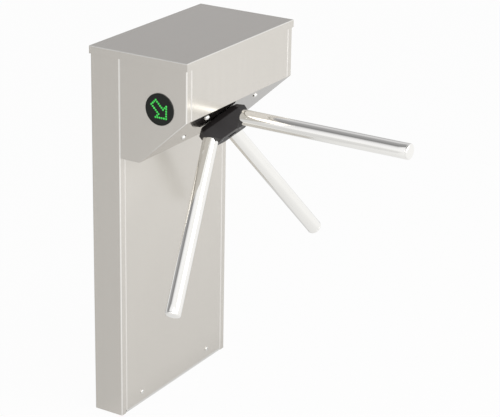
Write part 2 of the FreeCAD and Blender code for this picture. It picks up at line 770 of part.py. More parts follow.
def bolt(x, y, seat, out):
    """A plate bolt; its head stands on the seat and its shank goes the other way."""
    head = (seat, f"{seat} + plate_bolt_dome") if out > 0 else (f"{seat} - plate_bolt_dome", seat)
    shank = (f"{seat} - plate_bolt_grip", seat) if out > 0 else (seat, f"{seat} + plate_bolt_grip")
    return joined([prism(6, "plate_bolt_head / 2", head, x, y), prism(6, "plate_bolt / 2", shank, x, y)])


on_axis(keep(group(at_corners(lambda x, y: bolt(x, y, "0", 1))), "mechanism_bolts"))
on_axis(keep(group(at_corners(lambda x, y: bolt(x, y, "rear_plate_back", -1))), "rear_plate_bolts"))

# Bearing housing: a square block on a square flange, bored right through for the two bearings
housing = on_axis(body("bearing_housing"))
flange_back = "plate_back - housing_flange_thick"
flange_plan = outline(sketch(housing, "XY_Plane", flange_back),
                      rectangle(mirrored("housing_flange / 2"), mirrored("housing_flange / 2")))
corner_holes(flange_plan, "housing_screw / 2 + bolt_gap", "housing_screw_at", "housing_screw_at")
add(housing, "Pad", flange_plan, "housing_flange_thick")
block_side = mirrored("housing_block / 2")
block_plan = outline(sketch(housing, "XY_Plane", "housing_end"), rectangle(block_side, block_side))
add(housing, "Pad", block_plan, "plate_back - (housing_end)")
add(housing, "Pocket", circle(sketch(housing, "XY_Plane", "plate_back"), "bearing_outer / 2 + shaft_fit"))


def housing_screw(x, y):
    """A screw through the housing's flange into the mechanism plate."""
    head = prism(6, "housing_screw_head / 2", (f"{flange_back} - housing_screw_head_high", flange_back), x, y)
    return joined([head, prism(6, "housing_screw / 2", (flange_back, "plate_front"), x, y)])


on_axis(keep(group(at_corners(housing_screw, "housing_screw_at", "housing_screw_at")), "housing_screws"))


def bearing(front):
    """A sealed bearing, drawn as one ring in which the shaft turns."""
    ring = doc.addObject("PartDesign::Body", "bearing")
    bore_to_rim = ("journal / 2 + shaft_fit", "bearing_outer / 2")
    turn(ring, rectangle(bore_to_rim, (f"{front} - bearing_wide", front)))
    return ring


on_axis(keep(group([bearing("front_bearing"), bearing("rear_bearing")]), "shaft_bearings"))


# Shaft and what is keyed to it
def keyway(owner, radius, span, extra="0"):
    """A slot for a key along a shaft or in a bore."""
    slot = rectangle(mirrored(f"key_wide / 2 + {extra}"),
                     (f"{radius} - key_sunk", f"{radius} - key_sunk + key_high + {extra}"))
    slot_plan = outline(sketch(owner, "XY_Plane", span[1]), slot)
    return add(owner, "Pocket", slot_plan, f"({span[1]}) - ({span[0]})")


nose_end = "hub_back + nose_long"
hub_key_span = ("hub_back", "hub_back + hub_key_long")
disc_key_span = ("locknut_front", "disc_front")
shaft = on_axis(body("hub_shaft"))
turn(shaft, [
    ("0", nose_end),
    ("nose / 2", nose_end),
    ("nose / 2", "hub_back"),
    ("collar / 2", "hub_back"),
    ("collar / 2", "front_bearing + shoulder_gap"),
    ("journal / 2", "front_bearing + shoulder_gap"),
    ("journal / 2", "shaft_end"),
    ("0", "shaft_end"),
])
bolt_seat = "hub_front - hub_recess_deep"
tapped = hexagon(sketch(shaft, "XY_Plane", nose_end), "hub_bolt / 2 + shaft_fit")
add(shaft, "Pocket", tapped, f"{nose_end} - ({bolt_seat} - hub_bolt_grip)")
keyway(shaft, "nose / 2", hub_key_span)
keyway(shaft, "journal / 2", disc_key_span)


def key(radius, span):
    """A parallel key."""
    return box(mirrored("key_wide / 2"), (f"{radius} - key_sunk", f"{radius} - key_sunk + key_high"), span)


on_axis(keep(group([key("nose / 2", hub_key_span), key("journal / 2", disc_key_span)]), "shaft_keys"))

index_disc = on_axis(body("index_disc"))
add(index_disc, "Pad", circle(sketch(index_disc, "XY_Plane", "gear_front"), "disc / 2"), "disc_thick")
boss_plan = hexagon(sketch(index_disc, "XY_Plane", "disc_front"), "boss / 2")
add(index_disc, "Pad", boss_plan, "boss_long - shoulder_gap")
disc_bore = circle(sketch(index_disc, "XY_Plane", "rear_bearing_end"), "journal / 2 + shaft_fit")
add(index_disc, "Pocket", disc_bore)
notch = rectangle(("disc / 2 - notch_deep", "disc / 2 + 1"), mirrored("notch_wide / 2"))
notch_plan = outline(sketch(index_disc, "XY_Plane", "disc_front"), notch)
notch_cut = add(index_disc, "Pocket", notch_plan, "disc_thick")
ring_of(index_disc, [notch_cut], 6)
keyway(index_disc, "journal / 2", ("gear_front", "disc_front"), "shaft_fit")


def tooth_angle(radius, pitch_radius, base_radius):
    """Half the angle that a tooth fills at a radius, on an involute flank."""
    def involute(at):
        lean = math.acos(min(1, base_radius / at))
        return math.tan(lean) - lean
    half_thick = (math.pi * number("gear_module") / 2 - number("tooth_play")) / 2
    return half_thick / pitch_radius + involute(pitch_radius) - involute(max(radius, base_radius))


def gear_blank(teeth_text, low, high):
    """A spur gear with involute teeth on a 20 degree pressure angle, one tooth pointing up the slant."""
    module = number("gear_module")
    teeth = int(number(teeth_text))
    pitch_radius = module * teeth / 2
    base_radius = pitch_radius * math.cos(math.radians(20))
    radii = [pitch_radius - 1.15 * module, pitch_radius + 0.8 * module]
    flank = [(radius, tooth_angle(radius, pitch_radius, base_radius)) for radius in radii]
    corners = []
    for tooth in range(teeth):
        middle = math.radians(90 + 360 * tooth / teeth)
        for radius, half in flank:
            corners.append((radius, middle - half))
        for radius, half in reversed(flank):
            corners.append((radius, middle + half))
    loop = [FreeCAD.Vector(r * math.cos(a), r * math.sin(a), number(low)) for r, a in corners]
    face = Part.Face(Part.makePolygon(loop + loop[:1]))
    return face.extrude(FreeCAD.Vector(0, 0, number(high) - number(low)))


def upright_rod(radius, low, high):
    return Part.makeCylinder(number(radius), number(high) - number(low), FreeCAD.Vector(0, 0, number(low)))


def gear_feature(name, shape):
    item = doc.addObject("Part::Feature", name)
    item.Shape = shape
    return keep(item, name)


gear_shape = gear_blank("gear_teeth", "locknut_front", "gear_front")
gear_shape = gear_shape.cut(upright_rod("journal / 2 + shaft_fit", "locknut_front", "gear_front"))
slot_base = FreeCAD.Vector(number("-key_wide / 2 - shaft_fit"), 0, number("locknut_front"))
slot_wide = number("key_wide + 2 * shaft_fit")
slot_high = number("journal / 2 - key_sunk + key_high + shaft_fit")
gear_shape = gear_shape.cut(Part.makeBox(slot_wide, slot_high, number("gear_wide"), slot_base))
on_axis(gear_feature("main_gear", gear_shape))

locknut_span = ("locknut_front - locknut_thick", "locknut_front")
locknut = cut(prism(6, "locknut / 2", locknut_span), rod("journal / 2 + shaft_fit", locknut_span))
on_axis(keep(locknut, "shaft_locknut"))

# Hub: a three-sided block with blunt corners, cut square to each arm and bored for it
hub = on_axis(body("hub"))
corner_run = "(2 * hub_flat - hub_corner) / tan(60)"


def hub_point(angle, radial, across):
    """A corner of the hub's outline, given beyond and beside a direction from the axis."""
    turn_sin = math.sin(math.radians(angle))
    turn_cos = math.cos(math.radians(angle))
    x = f"({radial}) * {turn_sin} + ({across}) * {turn_cos}"
    y = f"({radial}) * {turn_cos} - ({across}) * {turn_sin}"
    return x, y


hub_outline = []
for arm in range(3):
    hub_outline.append(hub_point(120 * arm, "hub_corner", f"-({corner_run})"))
    hub_outline.append(hub_point(120 * arm, "hub_corner", corner_run))
add(hub, "Pad", outline(sketch(hub, "XY_Plane", "hub_back"), hub_outline), "hub_high")
dress(hub, "Chamfer", "hub_bevel", lambda a, b: near(a.z, "hub_back") and near(b.z, "hub_back"))


def face_at(height):
    """Distance from the axis to an arm's socket face, at a height above the panel."""
    return f"(socket_face - ({height} + apex_depth) * cos(arm_cone)) / sin(arm_cone)"


corner_cut = [
    (face_at("hub_front + 10"), "hub_front + 10"),
    (face_at("0"), "0"),
    (face_at("0"), "hub_front + 10"),
]
face_cut = add(hub, "Pocket", outline(sketch(hub, "YZ_Plane"), corner_cut), "4 * hub_corner", both=True)


def arm_sketch(owner, along, out="0", lean="0"):
    """An empty sketch square to an arm, at a distance along it."""
    item = owner.newObject("Sketcher::SketchObject", "sketch")
    item.AttachmentSupport = [(origin(owner, "XY_Plane"), "")]
    item.MapMode = "FlatFace"
    bind(item, AttachmentOffset=f"{along_arm} * placement(vector(0; {out}; {along});"
                                f" rotation(vector(1; 0; 0); {lean}))")
    return item


socket = circle(arm_sketch(hub, "socket_face + 10"), "arm_tube / 2 + arm_fit")
socket_cut = add(hub, "Pocket", socket, "socket_face + 10 - socket_floor")
# the locking screw enters from the hub's front, square to the arm
grub_hole = hexagon(arm_sketch(hub, "grub_place", "-arm_tube / 2 - hub_high", "90"), "grub / 2 + shaft_fit")
grub_cut = add(hub, "Pocket", grub_hole, "hub_high + arm_wall")
ring_of(hub, [face_cut, socket_cut, grub_cut], 3)
bore = circle(sketch(hub, "XY_Plane", "hub_back"), "nose / 2 + shaft_fit")
add(hub, "Pocket", bore, "nose_long + shaft_fit", back=True)
hub_bolt_hole = hexagon(sketch(hub, "XY_Plane", "hub_back"), "hub_bolt / 2 + bolt_gap")
add(hub, "Pocket", hub_bolt_hole, "hub_high", back=True)
add(hub, "Pocket", hexagon(sketch(hub, "XY_Plane", "hub_front"), "hub_recess / 2"), "hub_recess_deep")
keyway(hub, "nose / 2", hub_key_span, "shaft_fit")

bolt_top = f"{bolt_seat} + hub_bolt_head_high"
hub_bolt = joined([prism(6, "hub_bolt_head / 2", (bolt_seat, bolt_top)),
                   prism(6, "hub_bolt / 2", (f"{bolt_seat} - hub_bolt_grip", bolt_seat))])
on_axis(keep(hub_bolt, "hub_bolt"))


# Arms: chrome tubes with rounded end caps, each held by a locking screw
def end_cap(arm):
    """A cap with a bevelled edge, welded on the end of an arm."""
    cap = doc.addObject("PartDesign::Body", "cap")
    turn(cap, [
        ("0", "arm_reach"),
        ("arm_tube / 2 - cap_round", "arm_reach"),
        ("arm_tube / 2", "arm_reach - cap_round"),
        ("arm_tube / 2", "arm_reach - cap_thick"),
        ("0", "arm_reach - cap_thick"),
    ])
    return on_arm(cap, arm)


def grub_screw(arm):
    """A headless screw that bears on the tube from the hub's front."""
    screw = prism(6, "grub / 2", ("0", "grub_long"))
    bind(screw, Placement=f"{tilted} * {turned_by(120 * arm)} * {along_arm}"
                          " * placement(vector(0; -arm_tube / 2; grub_place); rotation(vector(1; 0; 0); 90))")
    return screw


for arm in range(3):
    span = ("socket_floor", "arm_reach - cap_thick")
    tube = cut(rod("arm_tube / 2", span), rod("arm_tube / 2 - arm_wall", span))
    on_arm(keep(tube, f"arm_{arm + 1}"), arm)
keep(group([end_cap(arm) for arm in range(3)]), "arm_end_caps")
keep(group([grub_screw(arm) for arm in range(3)]), "arm_grub_screws")


# Lock: on each side a solenoid draws a plunger, which swings a pawl towards the index disc
def lock_unit(name, side):
    pivot = (f"{side} * pawl_pivot_side", "-pawl_pivot_drop")
    nose = "disc / 2 + nose_gap"
    pawl = on_axis(body(name + "_pawl"))
    lever = [
        (nose, "nose_wide / 2"),
        (nose, "-nose_wide / 2"),
        (f"{nose} + nose_wide", "-nose_wide"),
        ("pawl_pivot_side - pawl_pin", "-pawl_pivot_drop - pawl_pin / 2"),
        ("pawl_pivot_side - pawl_pin / 2", "-pawl_pivot_drop - pawl_pin"),
        ("pawl_pivot_side + pawl_pin / 2", "-pawl_pivot_drop - pawl_pin"),
        ("link_side + link_pin", "-pawl_pivot_drop - link_pin"),
        ("link_side + link_pin", "-pawl_pivot_drop + link_pin"),
        ("pawl_pivot_side + pawl_pin", "-pawl_pivot_drop + pawl_pin"),
        (f"{nose} + 2 * nose_wide", "nose_wide / 2"),
    ]
    lever_points = [(f"{side} * ({x})", y) for x, y in lever]
    plan = outline(sketch(pawl, "XY_Plane", "pawl_front - pawl_thick"), lever_points)
    circle(plan, "pawl_pin / 2 + pawl_fit", *pivot)
    hexagon(plan, "link_pin / 2 + link_play", f"{side} * link_side", "-pawl_pivot_drop")
    add(pawl, "Pad", plan, "pawl_thick")

    # square plunger along the slant, forked round the pawl's tail
    upright_frame = (f"{tilted} * placement(vector({side} * link_side; -pawl_pivot_drop; pawl_mid);"
                     " rotation(vector(1; 0; 0); -90))")
    half = mirrored("plunger / 2")
    bar = box(half, half, ("-fork_end", "plunger_long - fork_end"))
    slot = box(mirrored("plunger"), mirrored("fork_slot / 2"), ("-fork_end - 1", "fork_end"))
    cross = prism(6, "link_pin / 2", half)
    bind(cross, Placement="placement(vector(0; -plunger / 2; 0); rotation(vector(1; 0; 0); -90))")
    plunger = keep(joined([cut(bar, slot), cross]), name + "_plunger")
    bind(plunger, Placement=upright_frame)

    way = mirrored("plunger / 2 + plunger_gap")
    coil_span = ("coil_rise", "coil_rise + coil_tall")
    coil_case = box(mirrored("coil_wide / 2"), mirrored("coil_deep / 2"), coil_span)
    coil = cut(coil_case, box(way, way, ("coil_rise - 1", "coil_rise + coil_tall - coil_roof")))
    bind(keep(coil, name + "_solenoid"), Placement=upright_frame)

    # pivot pin with its collar
    top = "pawl_front + pawl_side_gap"
    return joined([
        prism(6, "pawl_collar / 2", (top, "rear_plate_back"), *pivot),
        rod("pawl_pin / 2", ("pawl_front - pawl_thick - pin_end", top), *pivot),
    ])


pawl_pins = [lock_unit("entry", -1), lock_unit("exit", 1)]
on_axis(keep(group(pawl_pins), "pawl_pins"))

# Rotary damper, driven by the main gear, and the fork sensor that reads the index notches
damper_front = "rear_plate_back"
damper_end = f"{damper_front} - damper_thick"
damper_half = "damper_side / 2"
damper_rise = (f"pitch - {damper_half}", f"pitch + {damper_half}")
damper_case = box(mirrored(damper_half), damper_rise, (damper_end, damper_front))
damper_bore = (f"{damper_end} - 1", f"{damper_front} - damper_floor")
damper = cut(damper_case, rod("damper_shaft / 2 + damper_fit", damper_bore, "0", "pitch"))
on_axis(keep(damper, "rotary_damper"))

pinion_span = ("locknut_front + pinion_inset", "gear_front - pinion_inset")
pinion_shape = gear_blank("pinion_teeth", *pinion_span)
# a gap of the pinion faces the tooth of the main gear that points at it
pinion_shape.rotate(FreeCAD.Vector(), FreeCAD.Vector(0, 0, 1), 180 + 180 / number("pinion_teeth"))
pinion_stem = upright_rod("damper_shaft / 2", pinion_span[0], f"{damper_front} - damper_floor - pinion_inset")
pinion = gear_feature("damper_pinion", pinion_shape.fuse(pinion_stem))
bind(pinion, Placement=f"{tilted} * placement(vector(0; pitch; 0); rotation(vector(0; 0; 1); 0))")

sensor_tip = "-disc / 2 + sensor_cover"
sensor_end = f"{sensor_tip} - sensor_long"
sensor_fork = ("gear_front - sensor_gap", "disc_front + sensor_gap")
sensor_span = (f"{sensor_fork[0]} - sensor_arm", f"{sensor_fork[1]} + sensor_arm")
sensor = cut(box(mirrored("sensor_wide / 2"), (sensor_end, sensor_tip), sensor_span),
             box(mirrored("sensor_wide"), ("-disc / 2 - sensor_gap", f"{sensor_tip} + 1"), sensor_fork))
on_axis(keep(sensor, "position_sensor"))
bracket_x = mirrored("bracket_wide / 2")
bracket_leg = box(bracket_x, (f"{sensor_end} - bracket_sheet", sensor_end),
                  (sensor_span[0], "rear_plate_back"))
bracket_foot = box(bracket_x, (f"{sensor_end} - bracket_foot", sensor_end),
                   ("rear_plate_back - bracket_sheet", "rear_plate_back"))
on_axis(keep(joined([bracket_leg, bracket_foot]), "sensor_bracket"))

# Electronics on the back wall, reached from under the lid
board_back = "back_face - standoff_long"
board_front = f"{board_back} - board_thick"
board_x = ("board_side - board_wide / 2", "board_side + board_wide / 2")
board_z = ("electronics_high - board_tall / 2", "electronics_high + board_tall / 2")
keep(box(board_x, (board_front, board_back), board_z), "control_board")


def standoff(across, rise):
    """A spacer between the back wall and a corner of the board."""
    post = prism(6, "standoff / 2", ("0", "standoff_long"))
    x = f"board_side + {across} * (board_wide / 2 - standoff_inset)"
    z = f"electronics_high + {rise} * (board_tall / 2 - standoff_inset)"
    bind(post, Placement=f"placement(vector({x}; back_face; {z}); rotation(vector(1; 0; 0); 90))")
    return post


keep(group([standoff(a, r) for a in (-1, 1) for r in (-1, 1)]), "board_standoffs")
relays = []
for place_in_row in range(4):
    left = f"board_side - 2 * relay_pitch + {place_in_row} * relay_pitch"
    relays.append(box((left, f"{left} + relay_wide"), (f"{board_front} - relay_deep", board_front),
                      ("electronics_high", "electronics_high + relay_tall")))
strip_z = (f"{board_z[0]} + standoff", f"{board_z[0]} + standoff + terminal_tall")
terminals = box((f"{board_x[0]} + 2 * standoff", f"{board_x[1]} - 2 * standoff"),
                (f"{board_front} - terminal_deep", board_front), strip_z)
keep(group(relays + [terminals]), "board_components")
supply_x = ("-supply_side - supply_wide / 2", "-supply_side + supply_wide / 2")
supply_z = ("electronics_high - supply_tall / 2", "electronics_high + supply_tall / 2")
supply_case = box(supply_x, ("back_face - supply_deep", "back_face"), supply_z)
ledge = box((f"{supply_x[0]} + wall", f"{supply_x[1]} - wall"),
            ("back_face - supply_deep - 1", "back_face - supply_step"),
            (f"{supply_z[0]} - 1", f"{supply_z[0]} + supply_step"))
keep(cut(supply_case, ledge), "power_supply")

# Check every object, then write each sub-part
doc.recompute()
failed = [item.Label for item in doc.Objects if {"Invalid", "Error"} & set(item.State)]
if failed:
    raise SystemExit("failed: " + ", ".join(failed))
for item in nodes:
    shape = item.Shape
    if shape.isNull() or not shape.isValid() or not shape.Solids:
        raise SystemExit("bad shape: " + item.Label)
for item in nodes:
    item.Shape.exportStep(f"parts/{item.Label}.step")
print(len(nodes), "sub-parts,", sum(len(item.Shape.Solids) for item in nodes), "solids")
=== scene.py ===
import json
import math

import bpy
import numpy as np
from mathutils import Matrix


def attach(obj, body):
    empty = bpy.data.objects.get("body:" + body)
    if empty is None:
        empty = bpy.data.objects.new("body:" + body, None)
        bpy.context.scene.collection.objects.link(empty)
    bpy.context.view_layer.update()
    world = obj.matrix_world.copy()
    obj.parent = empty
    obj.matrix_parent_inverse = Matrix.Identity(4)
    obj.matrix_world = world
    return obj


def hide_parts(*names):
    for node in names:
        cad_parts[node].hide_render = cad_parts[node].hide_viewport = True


# Tripod turnstile: satin stainless cabinet, black hub, three chrome arms, green arrow lamps
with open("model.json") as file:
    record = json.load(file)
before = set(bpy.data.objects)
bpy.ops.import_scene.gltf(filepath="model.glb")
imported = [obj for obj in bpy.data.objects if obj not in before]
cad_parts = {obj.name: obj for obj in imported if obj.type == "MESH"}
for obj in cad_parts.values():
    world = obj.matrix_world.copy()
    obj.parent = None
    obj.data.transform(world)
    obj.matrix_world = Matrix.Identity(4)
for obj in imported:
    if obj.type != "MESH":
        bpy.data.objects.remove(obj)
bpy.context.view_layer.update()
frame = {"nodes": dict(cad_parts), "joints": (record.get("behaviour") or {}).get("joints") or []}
nodes = frame["nodes"]
scene = bpy.context.scene


# Meshes from arrays
def turnedForm(profile, segments):
    # Each row (radius, height, sixSided) is carried round the z axis: the radius is multiplied by
    # 1 - sixSided + sixSided * cos(30) / cos(angle from the middle of the nearest flat).
    # The first and last rows lie on the axis and become poles.
    rows = np.asarray(profile, float)
    angle = np.arange(segments) * 2 * np.pi / segments
    flat = np.cos(np.pi / 6) / np.cos(angle % (np.pi / 3) - np.pi / 6)
    rings = rows[1:-1]
    radius = rings[:, :1] * (1 - rings[:, 2:] + rings[:, 2:] * flat)
    height = np.broadcast_to(rings[:, 1:2], radius.shape)
    points = np.stack([radius * np.cos(angle), radius * np.sin(angle), height], 2).reshape(-1, 3)
    points = np.vstack([[0, 0, rows[0, 1]], points, [0, 0, rows[-1, 1]]])
    here = 1 + np.arange(segments)
    after = 1 + (np.arange(segments) + 1) % segments
    ring = (np.arange(len(rings) - 1) * segments)[:, None]
    quads = np.stack([ring + here, ring + after, ring + after + segments, ring + here + segments], 2)
    top = (len(rings) - 1) * segments
    pole = np.zeros_like(here)
    below = np.stack([pole, after, here], 1)
    above = np.stack([pole + len(points) - 1, here + top, after + top], 1)
    return points, quads.reshape(-1, 4).tolist() + below.tolist() + above.tolist()


def boxForm(low, high):
    # The eight corners are every mix of the two ends on each axis; the six faces look outwards.
    ends = np.array([low, high], float)
    mix = np.array([[i, j, k] for i in (0, 1) for j in (0, 1) for k in (0, 1)])
    points = np.take_along_axis(ends, mix, 0)
    faces = [[0, 1, 3, 2], [4, 6, 7, 5], [0, 4, 5, 1], [2, 3, 7, 6], [0, 2, 6, 4], [1, 5, 7, 3]]
    return points, faces


def arcRows(radius, height, rounding, first, last, steps):
    # Profile rows on an arc of the given rounding about (radius, height), between two angles.
    angle = np.radians(np.linspace(first, last, steps))
    turns = zip(np.cos(angle), np.sin(angle))
    return [[radius + rounding * c, height + rounding * s, 0] for c, s in turns]


def placed(form, origin, axes):
    # A form set down in a frame: origin plus x, y, z times the frame's three directions.
    points, faces = form
    return np.asarray(points) @ np.asarray(axes, float) + np.asarray(origin, float), faces


def makePiece(name, forms, material, body, stoodFor, sharp=32.0):
    # One mesh at the origin from several forms, smooth apart from edges above the sharp angle.
    points, faces, count = [], [], 0
    for formPoints, formFaces in forms:
        points.append(formPoints)
        faces += [[index + count for index in face] for face in formFaces]
        count += len(formPoints)
    mesh = bpy.data.meshes.new(name)
    mesh.from_pydata(np.vstack(points).tolist(), [], faces)
    mesh.polygons.foreach_set("use_smooth", np.ones(len(mesh.polygons), bool))
    mesh.set_sharp_from_angle(angle=math.radians(sharp))
    mesh.validate()
    mesh.update()
    mesh.materials.append(material)
    piece = bpy.data.objects.new(name, mesh)
    scene.collection.objects.link(piece)
    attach(piece, body)
    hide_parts(*stoodFor)


# Small helpers for node trees
def addNode(tree, kind, values=None, **settings):
    node = tree.nodes.new("ShaderNode" + kind)
    for key, value in settings.items():
        setattr(node, key, value)
    for key, value in (values or {}).items():
        node.inputs[key].default_value = value
    return node


def feed(tree, socket, value):
    if isinstance(value, bpy.types.NodeSocket):
        tree.links.new(value, socket)
    else:
        socket.default_value = value


def calc(tree, operation, first, second=0.0, clamp=False):
    node = addNode(tree, "Math", operation=operation, use_clamp=clamp)
    feed(tree, node.inputs[0], first)
    feed(tree, node.inputs[1], second)
    return node.outputs["Value"]


def noise(tree, vector, scale, detail=2.0, roughness=0.5):
    node = addNode(tree, "TexNoise", {"Detail": detail, "Roughness": roughness})
    tree.links.new(vector, node.inputs["Vector"])
    feed(tree, node.inputs["Scale"], scale)
    return node.outputs["Fac"]


def spread(tree, value, low, high, fromLow=0.3, fromHigh=0.7):
    # Noise rarely leaves its middle, so that middle is stretched over the wanted range.
    ends = {"From Min": fromLow, "From Max": fromHigh, "To Min": low, "To Max": high}
    node = addNode(tree, "MapRange", ends)
    tree.links.new(value, node.inputs["Value"])
    return node.outputs["Result"]


def blend(tree, factor, first, second):
    # Colours are given as three numbers or come from another node.
    node = addNode(tree, "Mix", data_type="RGBA")
    tree.links.new(factor, node.inputs[0])
    feed(tree, node.inputs[6], (*first, 1) if isinstance(first, tuple) else first)
    feed(tree, node.inputs[7], (*second, 1) if isinstance(second, tuple) else second)
    return node.outputs[2]


def blendValue(tree, factor, first, second):
    node = addNode(tree, "Mix", data_type="FLOAT")
    tree.links.new(factor, node.inputs[0])
    feed(tree, node.inputs[2], first)
    feed(tree, node.inputs[3], second)
    return node.outputs[0]


def along(tree, vector, direction, start=0.0):
    # Distance of a point along a direction, less a start.
    node = addNode(tree, "VectorMath", {1: tuple(direction)}, operation="DOT_PRODUCT")
    tree.links.new(vector, node.inputs[0])
    return calc(tree, "SUBTRACT", node.outputs["Value"], float(start))


def splitPoint(tree, point):
    node = addNode(tree, "SeparateXYZ")
    tree.links.new(point, node.inputs["Vector"])
    return node.outputs


def newGroup(name, inputs, outputs):
    group = bpy.data.node_groups.new(name, "ShaderNodeTree")
    for label, kind in inputs:
        group.interface.new_socket(label, in_out="INPUT", socket_type="NodeSocket" + kind)
    for label in outputs:
        group.interface.new_socket(label, in_out="OUTPUT", socket_type="NodeSocketFloat")
    given, result = group.nodes.new("NodeGroupInput"), group.nodes.new("NodeGroupOutput")
    return group, given.outputs, result.inputs


# Effects that several finishes share
brushShape = {"lineDetail": 3.0, "lineGrain": 0.6, "lineShare": 0.6, "bandShare": 0.4}
cloudShape = {"detail": 3.0, "grain": 0.55, "middle": (0.35, 0.65)}
pebbleShare = 0.5
edgeFall = 0.6


def makeBrushGroup():
    # Fine lines and broader bands drawn out along the brushing, from one stretched vector.
    inputs = [("Vector", "Vector"), ("Bands", "Float")]
    group, given, result = newGroup("brushLines", inputs, ["Lines", "Tone"])
    lines = noise(group, given["Vector"], 1.0, brushShape["lineDetail"], brushShape["lineGrain"])
    bands = noise(group, given["Vector"], given["Bands"])
    lineTone = calc(group, "MULTIPLY", lines, brushShape["lineShare"])
    bandTone = calc(group, "MULTIPLY", bands, brushShape["bandShare"])
    group.links.new(lines, result["Lines"])
    group.links.new(calc(group, "ADD", lineTone, bandTone), result["Tone"])
    return group


def makeHandlingGroup():
    # Soft clouds where hands and wiping have dulled or polished a surface.
    inputs = [("Vector", "Vector"), ("Scale", "Float")]
    group, given, result = newGroup("handling", inputs, ["Marks"])
    clouds = noise(group, given["Vector"], given["Scale"], cloudShape["detail"], cloudShape["grain"])
    group.links.new(spread(group, clouds, 0.0, 1.0, *cloudShape["middle"]), result["Marks"])
    return group


def makeGritGroup():
    # A fine pebbled skin for coats, castings and moulded plastic.
    inputs = [("Vector", "Vector"), ("Size", "Float")]
    group, given, result = newGroup("grit", inputs, ["Height", "Fleck"])
    scale = calc(group, "DIVIDE", 1.0, given["Size"])
    flecks = noise(group, given["Vector"], scale)
    pebbles = addNode(group, "TexVoronoi", feature="SMOOTH_F1")
    group.links.new(given["Vector"], pebbles.inputs["Vector"])
    group.links.new(scale, pebbles.inputs["Scale"])
    bumps = calc(group, "MULTIPLY", pebbles.outputs["Distance"], pebbleShare)
    group.links.new(calc(group, "ADD", flecks, bumps), result["Height"])
    group.links.new(flecks, result["Fleck"])
    return group


def makeEdgeGroup():
    # One on the line where two distances are both zero, falling to zero at the given width.
    inputs = [("First", "Float"), ("Second", "Float"), ("Width", "Float")]
    group, given, result = newGroup("edgeLine", inputs, ["Mask"])
    first, second = (calc(group, "ABSOLUTE", given[key]) for key in ("First", "Second"))
    off = calc(group, "DIVIDE", calc(group, "MAXIMUM", first, second), given["Width"])
    near = calc(group, "SUBTRACT", 1.0, off, clamp=True)
    group.links.new(calc(group, "POWER", near, edgeFall), result["Mask"])
    return group


brushLines = makeBrushGroup()
handling = makeHandlingGroup()
grit = makeGritGroup()
edgeLine = makeEdgeGroup()
print("shader groups:", len(bpy.data.node_groups))


def useGroup(tree, group, **values):
    node = addNode(tree, "Group", node_tree=group)
    for key, value in values.items():
        feed(tree, node.inputs[key], value)
    return node.outputs


def edgeMask(tree, pairs, width):
    # The strongest of several edge lines.
    total = None
    for first, second in pairs:
        mask = useGroup(tree, edgeLine, First=first, Second=second, Width=width)["Mask"]
        total = mask if total is None else calc(tree, "MAXIMUM", total, mask)
    return total


def newFinish(name, **values):
    material = bpy.data.materials.new(name)
    material.use_nodes = True
    shader = material.node_tree.nodes["Principled BSDF"]
    for key, value in values.items():
        shader.inputs[key].default_value = value
    return material, material.node_tree, shader


def objectVector(tree, scale=None):
    coordinates = addNode(tree, "TexCoord").outputs["Object"]
    if scale is None:
        return coordinates
    mapping = addNode(tree, "Mapping", {"Scale": scale})
    tree.links.new(coordinates, mapping.inputs["Vector"])
    return mapping.outputs["Vector"]


def addBump(tree, shader, height, distance):
    bump = addNode(tree, "Bump", {"Distance": distance})
    tree.links.new(height, bump.inputs["Height"])
    tree.links.new(bump.outputs["Normal"], shader.inputs["Normal"])


def dress(tree, shader, colour, gloss, height, depth):
    tree.links.new(colour, shader.inputs["Base Color"])
    tree.links.new(gloss, shader.inputs["Roughness"])
    addBump(tree, shader, height, depth)


# The middle of the brushed tone that is stretched, and the least share of the painted highlight on a
# coat's edges where handling marks break it up
toneMiddle = (0.35, 0.65)
highlightLeast = 0.55


def brushedFinish(name, look, edges=None):
    # Metal: brushed lines, faint bands of tone, wiping marks in the gloss, and a painted highlight
    # along the folds and edges.
    material, tree, shader = newFinish(name, Metallic=look.get("metal", 1.0))
    plain = objectVector(tree)
    stretched = objectVector(tree, look["stretch"])
    lines = useGroup(tree, brushLines, Vector=stretched, Bands=look["bands"])
    marks = useGroup(tree, handling, Vector=plain, Scale=look["markScale"])["Marks"]
    tone = spread(tree, lines["Tone"], 0.0, 1.0, *toneMiddle)
    colour = blend(tree, tone, look["dark"], look["light"])
    gloss = calc(tree, "ADD", spread(tree, lines["Lines"], look["smooth"], look["rough"]),
                 calc(tree, "MULTIPLY", marks, look["markDepth"]))
    if edges:
        # Painted highlight: the edge colour and edge gloss laid along the folds and edges that the
        # mask picks out.
        paintedHighlight = edges(tree, plain)
        colour = blend(tree, paintedHighlight, colour, look["edge"])
        gloss = blendValue(tree, paintedHighlight, gloss, look["edgeGloss"])
    dress(tree, shader, colour, gloss, lines["Lines"], look["lineDepth"])
    return material


def coatFinish(name, look, edges=None):
    # Painted, moulded or cast skin: pebbled height, flecks of tone, handling marks in the gloss, and
    # a painted highlight along the edges, broken up by the handling marks.
    material, tree, shader = newFinish(name, **look.get("fixed", {}))
    plain = objectVector(tree)
    skin = useGroup(tree, grit, Vector=plain, Size=look["grain"])
    marks = useGroup(tree, handling, Vector=plain, Scale=look["markScale"])["Marks"]
    colour = blend(tree, spread(tree, skin["Fleck"], 0.0, 1.0), look["dark"], look["light"])
    gloss = spread(tree, marks, look["smooth"], look["rough"], 0.0, 1.0)
    if edges:
        # Painted highlight along the edges, its strength broken up by the handling marks.
        highlightBreakup = spread(tree, marks, highlightLeast, 1.0, 0.0, 1.0)
        paintedHighlight = calc(tree, "MULTIPLY", edges(tree, plain), highlightBreakup)
        colour = blend(tree, paintedHighlight, colour, look["edge"])
        gloss = blendValue(tree, paintedHighlight, gloss, look["edgeGloss"])
    dress(tree, shader, colour, gloss, skin["Height"], look["depth"])
    return material


